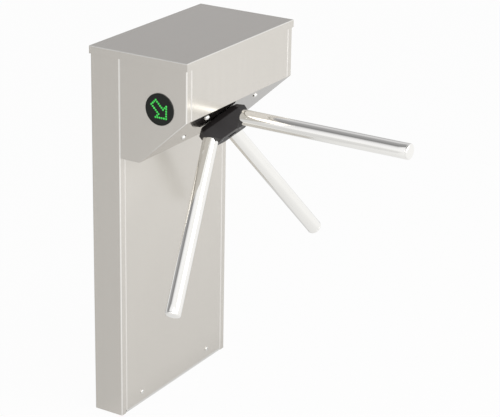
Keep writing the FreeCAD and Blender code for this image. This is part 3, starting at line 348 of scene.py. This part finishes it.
# Hub frame, read from the spin joint: sideways, up the slant, and out along the axis
spin = next(joint for joint in frame["joints"] if joint["name"] == "tripod_spin")
hubCentre = np.array(spin["pos_m"], float)
hubOut = np.array(spin["axis"], float)
hubSide = np.array([1.0, 0.0, 0.0])
hubUp = np.cross(hubOut, hubSide)
hubAxes = np.array([hubSide, hubUp, hubOut])

# Folds of the cabinet, where a painted highlight is drawn on the satin
fold = {
    "side": 0.245, "flange": 0.2245, "headFront": -0.2375, "columnFront": -0.0425, "width": 0.0034,
    "slantFade": (-0.20, -0.12), "slantLeast": 0.15, "slantShare": 0.6,
    "lidSide": 0.2475, "lidFront": -0.24, "lidBack": 0.045, "lidTop": 0.98, "lidWidth": 0.0026,
}


def cabinetEdges(tree, point):
    parts = splitPoint(tree, point)
    offside = calc(tree, "ABSOLUTE", parts["X"])
    sides = [calc(tree, "SUBTRACT", offside, fold[key]) for key in ("side", "flange")]
    fronts = [calc(tree, "SUBTRACT", parts["Y"], fold[key]) for key in ("headFront", "columnFront")]
    return edgeMask(tree, [(side, front) for side in sides for front in fronts], fold["width"])


def headEdges(tree, point):
    # The head's sides also carry a painted highlight along their slanted lower edge, most of all near
    # the front.
    parts = splitPoint(tree, point)
    offside = calc(tree, "SUBTRACT", calc(tree, "ABSOLUTE", parts["X"]), fold["side"])
    slant = along(tree, point, hubOut, hubCentre @ hubOut)
    fade = spread(tree, parts["Y"], 1.0, fold["slantLeast"], *fold["slantFade"])
    lower = edgeMask(tree, [(offside, slant)], fold["width"] * fold["slantShare"])
    return calc(tree, "MAXIMUM", cabinetEdges(tree, point), calc(tree, "MULTIPLY", lower, fade))


def lidEdges(tree, point):
    parts = splitPoint(tree, point)
    side = calc(tree, "SUBTRACT", calc(tree, "ABSOLUTE", parts["X"]), fold["lidSide"])
    front = calc(tree, "SUBTRACT", parts["Y"], fold["lidFront"])
    rear = calc(tree, "SUBTRACT", parts["Y"], fold["lidBack"])
    top = calc(tree, "SUBTRACT", parts["Z"], fold["lidTop"])
    return edgeMask(tree, [(side, top), (front, top), (rear, top)], fold["lidWidth"])


hubEdge = {"front": 0.0565, "flat": 0.0485, "width": 0.0016}


def hubEdges(tree, point):
    # The hub carries a painted highlight where its three flat sides meet its front.
    height = along(tree, point, hubOut, hubCentre @ hubOut + hubEdge["front"])
    pairs = []
    for index in range(3):
        third = math.radians(120 * index)
        outward = math.sin(third) * hubSide - math.cos(third) * hubUp
        pairs.append((height, along(tree, point, outward, hubCentre @ outward + hubEdge["flat"])))
    return edgeMask(tree, pairs, hubEdge["width"])


# Metals
# The edge colour and edge gloss are a painted highlight along the cabinet's folds and the lid's
# edges.
sheetLook = {
    "dark": (0.676, 0.646, 0.600), "light": (0.698, 0.667, 0.620), "metal": 0.80, "bands": 0.05,
    "edge": (0.95, 0.93, 0.90), "edgeGloss": 0.20, "smooth": 0.160, "rough": 0.180,
    "markScale": 4.0, "markDepth": 0.02, "lineDepth": 0.0000005,
}
uprightLook = {**sheetLook, "stretch": (2400, 2400, 30)}
uprightSteel = brushedFinish("uprightSteel", uprightLook, cabinetEdges)
headSteel = brushedFinish("headSteel", uprightLook, headEdges)
lidSteel = brushedFinish("lidSteel", {
    **sheetLook, "stretch": (30, 2400, 2400), "edge": (0.86, 0.85, 0.82),
}, lidEdges)
# The slanted panel is the same stainless as the other sheets, with its colour set darker as painted
# shade, and smoother and fully metallic.
slantSteel = brushedFinish("slantSteel", {
    **sheetLook, "dark": (0.565, 0.540, 0.500), "light": (0.585, 0.560, 0.518), "metal": 1.0,
    "stretch": (30, 2400, 2400), "smooth": 0.08, "rough": 0.11, "lineDepth": 0.0000004,
})
chrome = brushedFinish("chrome", {
    "dark": (0.905, 0.895, 0.865), "light": (0.935, 0.925, 0.896), "stretch": (300, 300, 300),
    "bands": 0.05, "smooth": 0.05, "rough": 0.08, "markScale": 9.0, "markDepth": 0.03,
    "lineDepth": 0.0000003,
})
machinedSteel = brushedFinish("machinedSteel", {
    "dark": (0.42, 0.42, 0.42), "light": (0.56, 0.56, 0.55), "stretch": (900, 900, 60),
    "bands": 0.06, "smooth": 0.26, "rough": 0.38, "markScale": 20.0, "markDepth": 0.05,
    "lineDepth": 0.000006,
})
# Near-black steel for the hub shaft: painted shade where the shaft shows in the gap behind the hub.
shaftShadeSteel = brushedFinish("shaftShadeSteel", {
    "dark": (0.010, 0.009, 0.009), "light": (0.018, 0.017, 0.017), "stretch": (900, 900, 60),
    "bands": 0.06, "smooth": 0.34, "rough": 0.46, "markScale": 20.0, "markDepth": 0.05,
    "lineDepth": 0.000004, "metal": 0.4,
})
platedSteel = brushedFinish("platedSteel", {
    "dark": (0.76, 0.76, 0.74), "light": (0.86, 0.85, 0.82), "stretch": (700, 700, 700),
    "bands": 0.10, "smooth": 0.14, "rough": 0.22, "markScale": 30.0, "markDepth": 0.04,
    "lineDepth": 0.000003,
})
brass = brushedFinish("brass", {
    "dark": (0.60, 0.43, 0.17), "light": (0.74, 0.55, 0.25), "stretch": (900, 900, 80),
    "bands": 0.08, "smooth": 0.22, "rough": 0.34, "markScale": 25.0, "markDepth": 0.05,
    "lineDepth": 0.000005,
})

# Castings, coats and plastics
castAlloy = coatFinish("castAlloy", {
    "dark": (0.42, 0.42, 0.43), "light": (0.56, 0.56, 0.56), "grain": 0.0018, "depth": 0.00006,
    "smooth": 0.42, "rough": 0.56, "markScale": 12.0, "fixed": {"Metallic": 0.9},
})
# The hub's edge colour and edge gloss are a painted highlight along its front edges.
hubCoat = coatFinish("hubCoat", {
    "dark": (0.0105, 0.0080, 0.0088), "light": (0.0145, 0.0115, 0.0124), "grain": 0.0011,
    "depth": 0.00002, "smooth": 0.42, "rough": 0.54, "markScale": 14.0,
    "edge": (0.12, 0.115, 0.11), "edgeGloss": 0.35, "fixed": {"Specular IOR Level": 0.38},
}, hubEdges)
facePlastic = coatFinish("facePlastic", {
    "dark": (0.0065, 0.0085, 0.0065), "light": (0.011, 0.0135, 0.011), "grain": 0.0009,
    "depth": 0.00001, "smooth": 0.36, "rough": 0.46, "markScale": 22.0,
    "fixed": {"Specular IOR Level": 0.26},
})
blackPlastic = coatFinish("blackPlastic", {
    "dark": (0.022, 0.022, 0.023), "light": (0.034, 0.034, 0.034), "grain": 0.0012,
    "depth": 0.00003, "smooth": 0.42, "rough": 0.55, "markScale": 18.0,
})


def boardFinish(name, look):
    # Solder mask over copper: square-cornered cells, their middles a lighter green where copper
    # lies below.
    fixed = {"Roughness": look["gloss"], "Coat Weight": look["coat"]}
    material, tree, shader = newFinish(name, **fixed)
    cells = addNode(tree, "TexVoronoi", {"Scale": look["trackScale"]}, feature="F1",
                    distance="MANHATTAN")
    tree.links.new(objectVector(tree), cells.inputs["Vector"])
    tracks = spread(tree, cells.outputs["Distance"], 0.0, 1.0, *look["trackEdge"])
    tree.links.new(blend(tree, tracks, look["mask"], look["track"]), shader.inputs["Base Color"])
    addBump(tree, shader, tracks, look["trackHigh"])
    return material


def lampFinish(name, look):
    # A lit lens: flecks of brighter and deeper green.
    fixed = {"Roughness": look["gloss"], "Emission Strength": look["strength"]}
    material, tree, shader = newFinish(name, **fixed)
    place = objectVector(tree)
    marks = useGroup(tree, handling, Vector=place, Scale=look["sparkle"])["Marks"]
    glow = blend(tree, marks, look["deep"], look["bright"])
    lens = blend(tree, marks, look["body"], look["bodyLight"])
    tree.links.new(glow, shader.inputs["Emission Color"])
    tree.links.new(lens, shader.inputs["Base Color"])
    return material


boardMask = boardFinish("boardMask", {
    "mask": (0.012, 0.10, 0.035), "track": (0.03, 0.19, 0.07), "trackScale": 160.0,
    "trackEdge": (0.35, 0.42), "trackHigh": 0.00004, "gloss": 0.35, "coat": 0.3,
})
lampLens = lampFinish("lampLens", {
    "deep": (0.012, 0.45, 0.040), "bright": (0.09, 0.85, 0.13), "body": (0.01, 0.16, 0.02),
    "bodyLight": (0.02, 0.24, 0.04), "sparkle": 260.0, "strength": 0.7, "gloss": 0.25,
})
print("finishes:", len(bpy.data.materials))

# CAD pieces that keep their shape take their finish here
cadFinishes = [
    (uprightSteel, ["column_shell", "column_front_panel", "head_front_panel"]),
    (headSteel, ["head_side_left", "head_side_right"]),
    (lidSteel, ["lid"]),
    (slantSteel, ["slant_panel"]),
    (hubCoat, ["hub"]),
    (shaftShadeSteel, ["hub_shaft"]),
    (machinedSteel, ["shaft_bearings", "shaft_keys", "index_disc", "main_gear", "plate_pillars",
                     "pawl_pins", "entry_pawl", "exit_pawl", "entry_plunger", "exit_plunger"]),
    (platedSteel, ["base_plate", "mechanism_plate", "rear_plate", "shaft_locknut", "hub_bolt",
                   "sensor_bracket", "board_standoffs"]),
    (castAlloy, ["bearing_housing", "power_supply"]),
    (brass, ["damper_pinion"]),
    (blackPlastic, ["entry_solenoid", "exit_solenoid", "rotary_damper", "position_sensor",
                    "board_components"]),
    (boardMask, ["control_board"]),
]
for finish, names in cadFinishes:
    for name in names:
        nodes[name].data.materials.clear()
        nodes[name].data.materials.append(finish)
print("CAD finishes:", sum(len(names) for finish, names in cadFinishes), "nodes")

# Arms: straight polished tubes with a softly rounded, welded cap
arm = {
    "radius": 0.020, "start": 0.055, "end": 0.537, "meet": 0.013, "cone": 47.5, "segments": 96,
    "lead": 0.001, "ringInset": 0.02, "rings": 12, "weldRound": 0.0003, "weldSteps": 4,
    "capEnd": 0.543, "capRound": 0.0043, "capSteps": 10, "capFlat": 0.012,
}


def armFrame(index):
    # An arm's own z leans off the hub axis by the cone angle, a third of a turn from its neighbours.
    third, cone = math.radians(120 * index), math.radians(arm["cone"])
    outward = -math.sin(third) * hubSide + math.cos(third) * hubUp
    lengthwise = math.sin(cone) * outward + math.cos(cone) * hubOut
    across = math.cos(third) * hubSide + math.sin(third) * hubUp
    axes = np.array([across, np.cross(lengthwise, across), lengthwise])
    return hubCentre - arm["meet"] * hubOut, axes


def weldRows(height, first, last):
    weld = arm["weldRound"]
    return arcRows(arm["radius"] - weld, height, weld, first, last, arm["weldSteps"])


def tubeForm():
    # A straight wall of even rings that rolls over into the weld line.
    radius, start, end, inset = arm["radius"], arm["start"], arm["end"], arm["ringInset"]
    profile = [[0, start, 0], [radius, start, 0], [radius, start + arm["lead"], 0]]
    profile += [[radius, z, 0] for z in np.linspace(start + inset, end - inset, arm["rings"])]
    profile += weldRows(end - arm["weldRound"], 0, 90) + [[0, end, 0]]
    return turnedForm(profile, arm["segments"])


def capForm():
    # Out of the weld line, then a quarter arc over to a flat end.
    rounding, capEnd = arm["capRound"], arm["capEnd"]
    profile = [[0, arm["end"], 0]] + weldRows(arm["end"] + arm["weldRound"], -90, 0)
    profile += arcRows(arm["radius"] - rounding, capEnd - rounding, rounding, 0, 90, arm["capSteps"])
    profile += [[arm["capFlat"], capEnd, 0], [0, capEnd, 0]]
    return turnedForm(profile, arm["segments"])


for index in range(3):
    tube = placed(tubeForm(), *armFrame(index))
    makePiece(f"arm_tube_{index + 1}", [tube], chrome, "tripod", [f"arm_{index + 1}"])
armCaps = [placed(capForm(), *armFrame(index)) for index in range(3)]
makePiece("arm_caps", armCaps, chrome, "tripod", ["arm_end_caps"])
print("arms: 3 tubes and their caps")

# Direction indicators: a flat black face in a low rim, with an outline arrow of round lamps
indicator = {
    "radius": 0.040, "rimHigh": 0.003, "rimWide": 0.0022, "rimSlope": 0.0004, "edgeRound": 0.0010,
    "edgeSteps": 6, "faceHigh": 0.0024, "faceRing": 0.02, "segments": 96, "box": 0.025,
    "boxDeep": 0.024, "wall": 0.245, "y": -0.1605, "z": 0.854,
}
arrow = {
    "tip": 0.028, "neck": 0.0065, "tail": 0.0235, "head": 0.022, "shaft": 0.009, "steps": (5, 2, 5),
    "lampRadius": 0.0027, "lampHigh": 0.0013, "lampSunk": 0.0004, "domeSteps": 5, "lampSides": 12,
    "lampSharp": 60.0,
}


def sideFrame(side):
    # Looking out of one end of the head: z outwards, x forwards.
    out = np.array([side, 0.0, 0.0])
    forward = np.array([0.0, -1.0, 0.0])
    origin = np.array([side * indicator["wall"], indicator["y"], indicator["z"]])
    return origin, np.array([forward, np.cross(out, forward), out])


def lampOffsets():
    # Lamps stand at even steps between the corners of half an outline arrow, onward and across its
    # line, and on the other half mirrored; two more close the tail at a third of its width.
    # The arrow points 45 degrees forwards and down: y is -(onward + across) / root 2 and z is
    # (across - onward) / root 2.
    neck, tail, shaft = arrow["neck"], arrow["tail"], arrow["shaft"]
    corners = np.array([[arrow["tip"], 0], [neck, arrow["head"]], [neck, shaft], [-tail, shaft]])
    runs = []
    for start, end, count in zip(corners[:-1], corners[1:], arrow["steps"]):
        runs.append(start + np.linspace(0, 1, count + 1)[1:, None] * (end - start))
    half = np.vstack(runs)
    tailEnd = np.array([[-tail, -shaft / 3], [-tail, shaft / 3]])
    spots = np.vstack([corners[:1], half, half * [1, -1], tailEnd])
    onward, across = spots.T * math.sqrt(0.5)
    return np.stack([np.zeros_like(onward), -(onward + across), across - onward], 1)


def faceForm():
    # A wall that rounds over into the rim, a short slope down inside it, and the flat face.
    radius, rounding, rimHigh = indicator["radius"], indicator["edgeRound"], indicator["rimHigh"]
    rimInner, faceHigh = radius - indicator["rimWide"], indicator["faceHigh"]
    profile = [[0, 0, 0], [radius, 0, 0]]
    profile += arcRows(radius - rounding, rimHigh - rounding, rounding, 0, 90, indicator["edgeSteps"])
    profile += [[rimInner + indicator["rimSlope"], rimHigh, 0], [rimInner, faceHigh, 0],
                [indicator["faceRing"], faceHigh, 0], [0, faceHigh, 0]]
    return turnedForm(profile, indicator["segments"])


def lampForm():
    # A short wall sunk in the face under a dome: radius times cosine, height times sine.
    radius, faceHigh, lampHigh = arrow["lampRadius"], indicator["faceHigh"], arrow["lampHigh"]
    foot = faceHigh - arrow["lampSunk"]
    dome = np.radians(np.linspace(0, 90, arrow["domeSteps"]))[:-1]
    profile = [[0, foot, 0], [radius, foot, 0]]
    profile += [[radius * c, faceHigh + lampHigh * s, 0] for c, s in zip(np.cos(dome), np.sin(dome))]
    profile += [[0, faceHigh + lampHigh, 0]]
    return turnedForm(profile, arrow["lampSides"])


indicatorForms = []
reach = indicator["box"]
boxEnds = (-reach, -reach, -indicator["boxDeep"]), (reach, reach, 0)
for side, label in ((-1, "left"), (1, "right")):
    origin, axes = sideFrame(side)
    indicatorForms.append(placed(faceForm(), origin, axes))
    indicatorForms.append(placed(boxForm(*boxEnds), origin, axes))
    arrowLamps = [placed(lampForm(), origin + offset, axes) for offset in lampOffsets()]
    makePiece(f"arrow_lamps_{label}", arrowLamps, lampLens, "cabinet",
              [f"indicator_lamps_{label}"], arrow["lampSharp"])
makePiece("indicator_faces", indicatorForms, facePlastic, "cabinet",
          ["indicator_housings"])
print("indicators: 2 faces,", 2 * len(lampOffsets()), "lamps")

# Screws and bolts: turned heads with a six-sided driving socket. The crown is the larger of two
# shares, of the key and of the head; the socket narrows to a share of the key and ends in a point.
screwShape = {"edge": 0.0004, "crownByKey": 1.12, "crownByHead": 0.45, "domeSteps": 7,
              "socketShare": 0.94, "pointShare": 0.3, "segments": 48}


def socketScrew(size):
    # Shank, flat under-head, a side that arcs over by the dome height, and a six-sided socket sunk
    # in the crown.
    head, high, dome = size["head"], size["high"], size["dome"]
    shank, grip, key, deep = size["shank"], size["grip"], size["key"], size["keyDeep"]
    edge, socket = screwShape["edge"], key * screwShape["socketShare"]
    crown = max(key * screwShape["crownByKey"], head * screwShape["crownByHead"])
    angle = np.radians(np.linspace(0, 90, screwShape["domeSteps"]))[1:]
    profile = [[0, -grip, 0], [shank - edge, -grip, 0], [shank, -grip + edge, 0], [shank, 0, 0],
               [head, 0, 0], [head, high - dome, 0]]
    profile += [[crown + (head - crown) * c, high - dome + dome * s, 0]
                for c, s in zip(np.cos(angle), np.sin(angle))]
    profile += [[key, high, 1], [socket, high - edge, 1], [socket, high - deep, 1],
                [0, high - deep - key * screwShape["pointShare"], 0]]
    return turnedForm(profile, screwShape["segments"])


def screwSet(size, seat, facing=1):
    # Four screws round the hub axis, seated at a height over the slanted panel, facing out or in.
    axes = hubAxes * np.array([[1.0], [facing], [facing]])
    corners = [(x, u) for x in (-1, 1) for u in (-1, 1)]
    spots = np.array([[x * size["across"], u * size["rise"], seat] for x, u in corners])
    return [placed(socketScrew(size), hubCentre + spot @ hubAxes, axes) for spot in spots]


plateBolt = {
    "across": 0.112, "rise": 0.047, "head": 0.007, "high": 0.004, "dome": 0.0030, "shank": 0.00395,
    "grip": 0.026, "key": 0.0029, "keyDeep": 0.0022, "frontSeat": 0.0, "rearSeat": -0.0715,
}
makePiece("slant_panel_bolts", screwSet(plateBolt, plateBolt["frontSeat"]), platedSteel, "cabinet",
          ["mechanism_bolts"])
makePiece("rear_bolts", screwSet(plateBolt, plateBolt["rearSeat"], -1), platedSteel, "cabinet",
          ["rear_plate_bolts"])

housingScrew = {
    "across": 0.050, "rise": 0.050, "head": 0.005, "high": 0.006, "dome": 0.0006, "shank": 0.00295,
    "grip": 0.014, "key": 0.0028, "keyDeep": 0.003, "seat": -0.0155,
}
makePiece("bearing_screws", screwSet(housingScrew, housingScrew["seat"], -1), platedSteel, "cabinet",
          ["housing_screws"])

panelScrew = {
    "across": 0.155, "height": 0.032, "front": -0.0425, "head": 0.006, "high": 0.0035,
    "dome": 0.0028, "shank": 0.00245, "grip": 0.008, "key": 0.0023, "keyDeep": 0.0018,
}
panelAxes = np.array([[1.0, 0, 0], [0, 0, 1.0], [0, -1.0, 0]])
panelScrews = []
for side in (-1, 1):
    spot = (side * panelScrew["across"], panelScrew["front"], panelScrew["height"])
    panelScrews.append(placed(socketScrew(panelScrew), spot, panelAxes))
makePiece("panel_screws", panelScrews, platedSteel, "cabinet",
          ["column_panel_screws"])

grub = {"along": 0.067, "radius": 0.0039, "long": 0.011, "point": 0.0008, "edge": 0.0004,
        "socket": 0.0021, "socketDeep": 0.004, "segments": 36}


def grubForm():
    # A headless screw: chamfered point, straight side, broken edge, and a six-sided socket.
    radius, end, socket = grub["radius"], grub["long"], grub["socket"]
    point, edge, floor = grub["point"], grub["edge"], grub["long"] - grub["socketDeep"]
    profile = [[0, 0, 0], [radius - point, 0, 0], [radius, point, 0], [radius, end - edge, 0],
               [radius - edge, end, 0], [socket, end, 1], [socket, floor, 1], [0, floor, 0]]
    return turnedForm(profile, grub["segments"])


grubScrews = []
for index in range(3):
    origin, axes = armFrame(index)
    start = origin + np.array([0, -arm["radius"], grub["along"]]) @ axes
    grubScrews.append(placed(grubForm(), start, np.array([axes[0], axes[2], -axes[1]])))
makePiece("arm_set_screws", grubScrews, machinedSteel, "tripod",
          ["arm_grub_screws"])
print("screws: 12 round the hub,", len(panelScrews), "in the panel,", len(grubScrews), "in the arms")


# Stage: a pale floor, soft lights, and a room that is white in front and grey behind
def rayKind(tree, kinds):
    # One where the ray comes from any of the named kinds, else zero.
    path = addNode(tree, "LightPath")
    total = path.outputs[kinds[0]]
    for kind in kinds[1:]:
        total = calc(tree, "MAXIMUM", total, path.outputs[kind])
    return total


floorLook = {
    "radius": 14.0, "sides": 96, "drop": 0.0005, "colour": (0.80, 0.80, 0.79), "gloss": 0.9,
    "shadowShare": 0.05, "shade": 0.16, "shadeCentre": (1.4, 0.6, 0.0), "shadeReach": 1.0,
    "level": 0.705, "sideGain": 0.06, "backLoss": 0.10, "frontGain": 0.9, "frontMost": 0.150,
    "frontLead": 0.04, "darkest": 0.45,
}


def floorLevel(tree):
    # What mirrors see: a floor that brightens towards the front and with distance to either side,
    # and a soft shade behind the cabinet that dies away with distance. The camera sees white.
    place = objectVector(tree)
    away = addNode(tree, "VectorMath", {1: floorLook["shadeCentre"]}, operation="DISTANCE")
    tree.links.new(place, away.inputs[0])
    fall = calc(tree, "DIVIDE", away.outputs["Value"], -floorLook["shadeReach"])
    shade = calc(tree, "MULTIPLY", calc(tree, "EXPONENT", fall), floorLook["shade"])
    front = along(tree, place, (0, -floorLook["frontGain"], 0), -floorLook["frontLead"])
    front = calc(tree, "MINIMUM", calc(tree, "MAXIMUM", front, 0.0), floorLook["frontMost"])
    sides = calc(tree, "ABSOLUTE", along(tree, place, (floorLook["sideGain"], 0, 0)))
    level = along(tree, place, (0, -floorLook["backLoss"], 0), -floorLook["level"])
    level = calc(tree, "ADD", level, calc(tree, "ADD", front, sides))
    level = calc(tree, "MAXIMUM", calc(tree, "SUBTRACT", level, shade), floorLook["darkest"])
    level = calc(tree, "MINIMUM", level, 1.0)
    return calc(tree, "MAXIMUM", level, rayKind(tree, ["Is Camera Ray"]))


def floorFinish():
    # White with a little of the true shading from above, and clear from below.
    material, tree, shader = newFinish("paleFloor", Roughness=floorLook["gloss"],
                                       **{"Base Color": (*floorLook["colour"], 1)})
    glow = addNode(tree, "Emission", {"Strength": 1.0})
    tree.links.new(floorLevel(tree), glow.inputs["Color"])
    seen = rayKind(tree, ["Is Camera Ray", "Is Glossy Ray", "Is Transmission Ray"])
    shown = addNode(tree, "MixShader")
    share = calc(tree, "MULTIPLY", seen, 1 - floorLook["shadowShare"])
    tree.links.new(share, shown.inputs["Fac"])
    tree.links.new(shader.outputs["BSDF"], shown.inputs[1])
    tree.links.new(glow.outputs["Emission"], shown.inputs[2])
    under = addNode(tree, "MixShader")
    tree.links.new(addNode(tree, "NewGeometry").outputs["Backfacing"], under.inputs["Fac"])
    tree.links.new(shown.outputs["Shader"], under.inputs[1])
    tree.links.new(addNode(tree, "BsdfTransparent").outputs["BSDF"], under.inputs[2])
    tree.links.new(under.outputs["Shader"], tree.nodes["Material Output"].inputs["Surface"])
    return material


def makeFloor():
    # A disc: points at even angles on a circle, joined by one face.
    count = floorLook["sides"]
    angle = np.arange(count) * 2 * np.pi / count
    points = np.stack([np.cos(angle), np.sin(angle), 0 * angle], 1) * floorLook["radius"]
    mesh = bpy.data.meshes.new("floor")
    mesh.from_pydata(points.tolist(), [], [list(range(count))])
    mesh.update()
    floor = bpy.data.objects.new("floor", mesh)
    floor.location.z = -floorLook["drop"]
    scene.collection.objects.link(floor)
    mesh.materials.append(floorFinish())


# Levels that mirrors see, by how far they look along the lit direction, from -1 to 1; the height
# over the horizon at which its white haze ends; and the stretch over which the white front gives
# way to these levels
room = {
    "diffuse": (0.62, 0.62, 0.62), "white": (1.0, 1.0, 1.0), "blueGain": 1.02,
    "lit": (-0.80, -0.60, 0.0), "haze": 0.22, "front": (-0.25, 0.05),
    "levels": [(-1.0, 0.47), (-0.92, 0.45), (-0.8, 0.69), (-0.62, 0.72), (-0.43, 0.42), (-0.2, 0.35),
               (0.0, 0.28), (0.09, 0.22), (0.2, 0.62), (0.32, 0.90), (0.44, 1.0)],
}


def makeRoom():
    # Even light for the object; white for the camera; for mirrors a level that follows the lit
    # direction.
    world = bpy.data.worlds.new("studio")
    scene.world = world
    world.use_nodes = True
    tree = world.node_tree
    direction = addNode(tree, "TexCoord").outputs["Generated"]
    towards = along(tree, direction, room["lit"])
    ramp = addNode(tree, "ValToRGB")
    elements = ramp.color_ramp.elements
    while len(elements) < len(room["levels"]):
        elements.new(0.5)
    for element, (place, level) in zip(elements, room["levels"]):
        element.position = (place + 1) / 2
        element.color = (level, level, level * room["blueGain"], 1)
    tree.links.new(spread(tree, towards, 0.0, 1.0, -1.0, 1.0), ramp.inputs["Fac"])
    haze = spread(tree, along(tree, direction, (0, 0, 1)), 1.0, 0.0, 0.0, room["haze"])
    front = spread(tree, along(tree, direction, (0, 1, 0)), 1.0, 0.0, *room["front"])
    pale = calc(tree, "MAXIMUM", haze, front)
    mirror = blend(tree, pale, ramp.outputs["Color"], room["white"])
    reflected = rayKind(tree, ["Is Glossy Ray", "Is Transmission Ray"])
    mirror = blend(tree, reflected, room["diffuse"], mirror)
    seen = blend(tree, rayKind(tree, ["Is Camera Ray"]), mirror, room["white"])
    tree.links.new(seen, tree.nodes["Background"].inputs["Color"])


def lookFrame(place, aim):
    # Right, up and back directions for something at a place that looks at an aim.
    back = np.array(place, float) - np.array(aim, float)
    back /= np.linalg.norm(back)
    right = np.cross([0, 0, 1.0], back)
    right /= np.linalg.norm(right)
    return right, np.cross(back, right), back


def standAt(holder, place, directions):
    rows = [[direction[i] for direction in directions] + [place[i]] for i in range(3)]
    holder.matrix_world = Matrix(rows + [[0, 0, 0, 1]])
    scene.collection.objects.link(holder)


studioLights = [
    {"name": "keyLamp", "power": 60.0, "size": 3.4, "place": (0.4, -4.4, 3.2),
     "aim": (0, -0.1, 0.6)},
    {"name": "cameraLamp", "power": 90.0, "size": 4.5, "place": (-4.7, -3.5, 3.2),
     "aim": (0, -0.3, 0.7)},
]
makeFloor()
makeRoom()
for look in studioLights:
    light = bpy.data.lights.new(look["name"], "AREA")
    light.energy = look["power"]
    light.shape = "DISK"
    light.size = look["size"]
    lightHolder = bpy.data.objects.new(look["name"], light)
    standAt(lightHolder, look["place"], lookFrame(look["place"], look["aim"]))
print("stage: floor, room and", len(studioLights), "lights")

# Camera, fitted to the photograph's corners and edges
view = {
    "azimuth": -1.0206, "elevation": 0.355, "roll": 0.0164, "distance": 4.81443,
    "target": (0.32035, -0.0425, 0.46341), "focal": 1747.68, "centreX": 240.29, "centreY": 185.09,
    "wide": 500, "tall": 417, "sensor": 36.0, "clipEnd": 60.0,
}


def viewFrame():
    # Back points from the target to the camera, right is level, and roll turns right and up about
    # back.
    azimuth, elevation, roll = view["azimuth"], view["elevation"], view["roll"]
    back = np.array([math.sin(azimuth) * math.cos(elevation),
                     -math.cos(azimuth) * math.cos(elevation), math.sin(elevation)])
    right = np.array([math.cos(azimuth), math.sin(azimuth), 0.0])
    up = np.cross(back, right)
    rolledRight = math.cos(roll) * right + math.sin(roll) * up
    rolledUp = -math.sin(roll) * right + math.cos(roll) * up
    return rolledRight, rolledUp, back


viewDirections = viewFrame()
camera = bpy.data.cameras.new("photoView")
camera.sensor_fit = "HORIZONTAL"
camera.sensor_width = view["sensor"]
camera.lens = view["focal"] / view["wide"] * camera.sensor_width
camera.shift_x = (view["wide"] / 2 - view["centreX"]) / view["wide"]
camera.shift_y = (view["centreY"] - view["tall"] / 2) / view["wide"]
camera.clip_end = view["clipEnd"]
cameraHolder = bpy.data.objects.new("photoView", camera)
cameraPlace = np.array(view["target"]) + view["distance"] * viewDirections[2]
standAt(cameraHolder, cameraPlace, viewDirections)
scene.camera = cameraHolder
scene.view_settings.view_transform = "Standard"
print("camera: set")
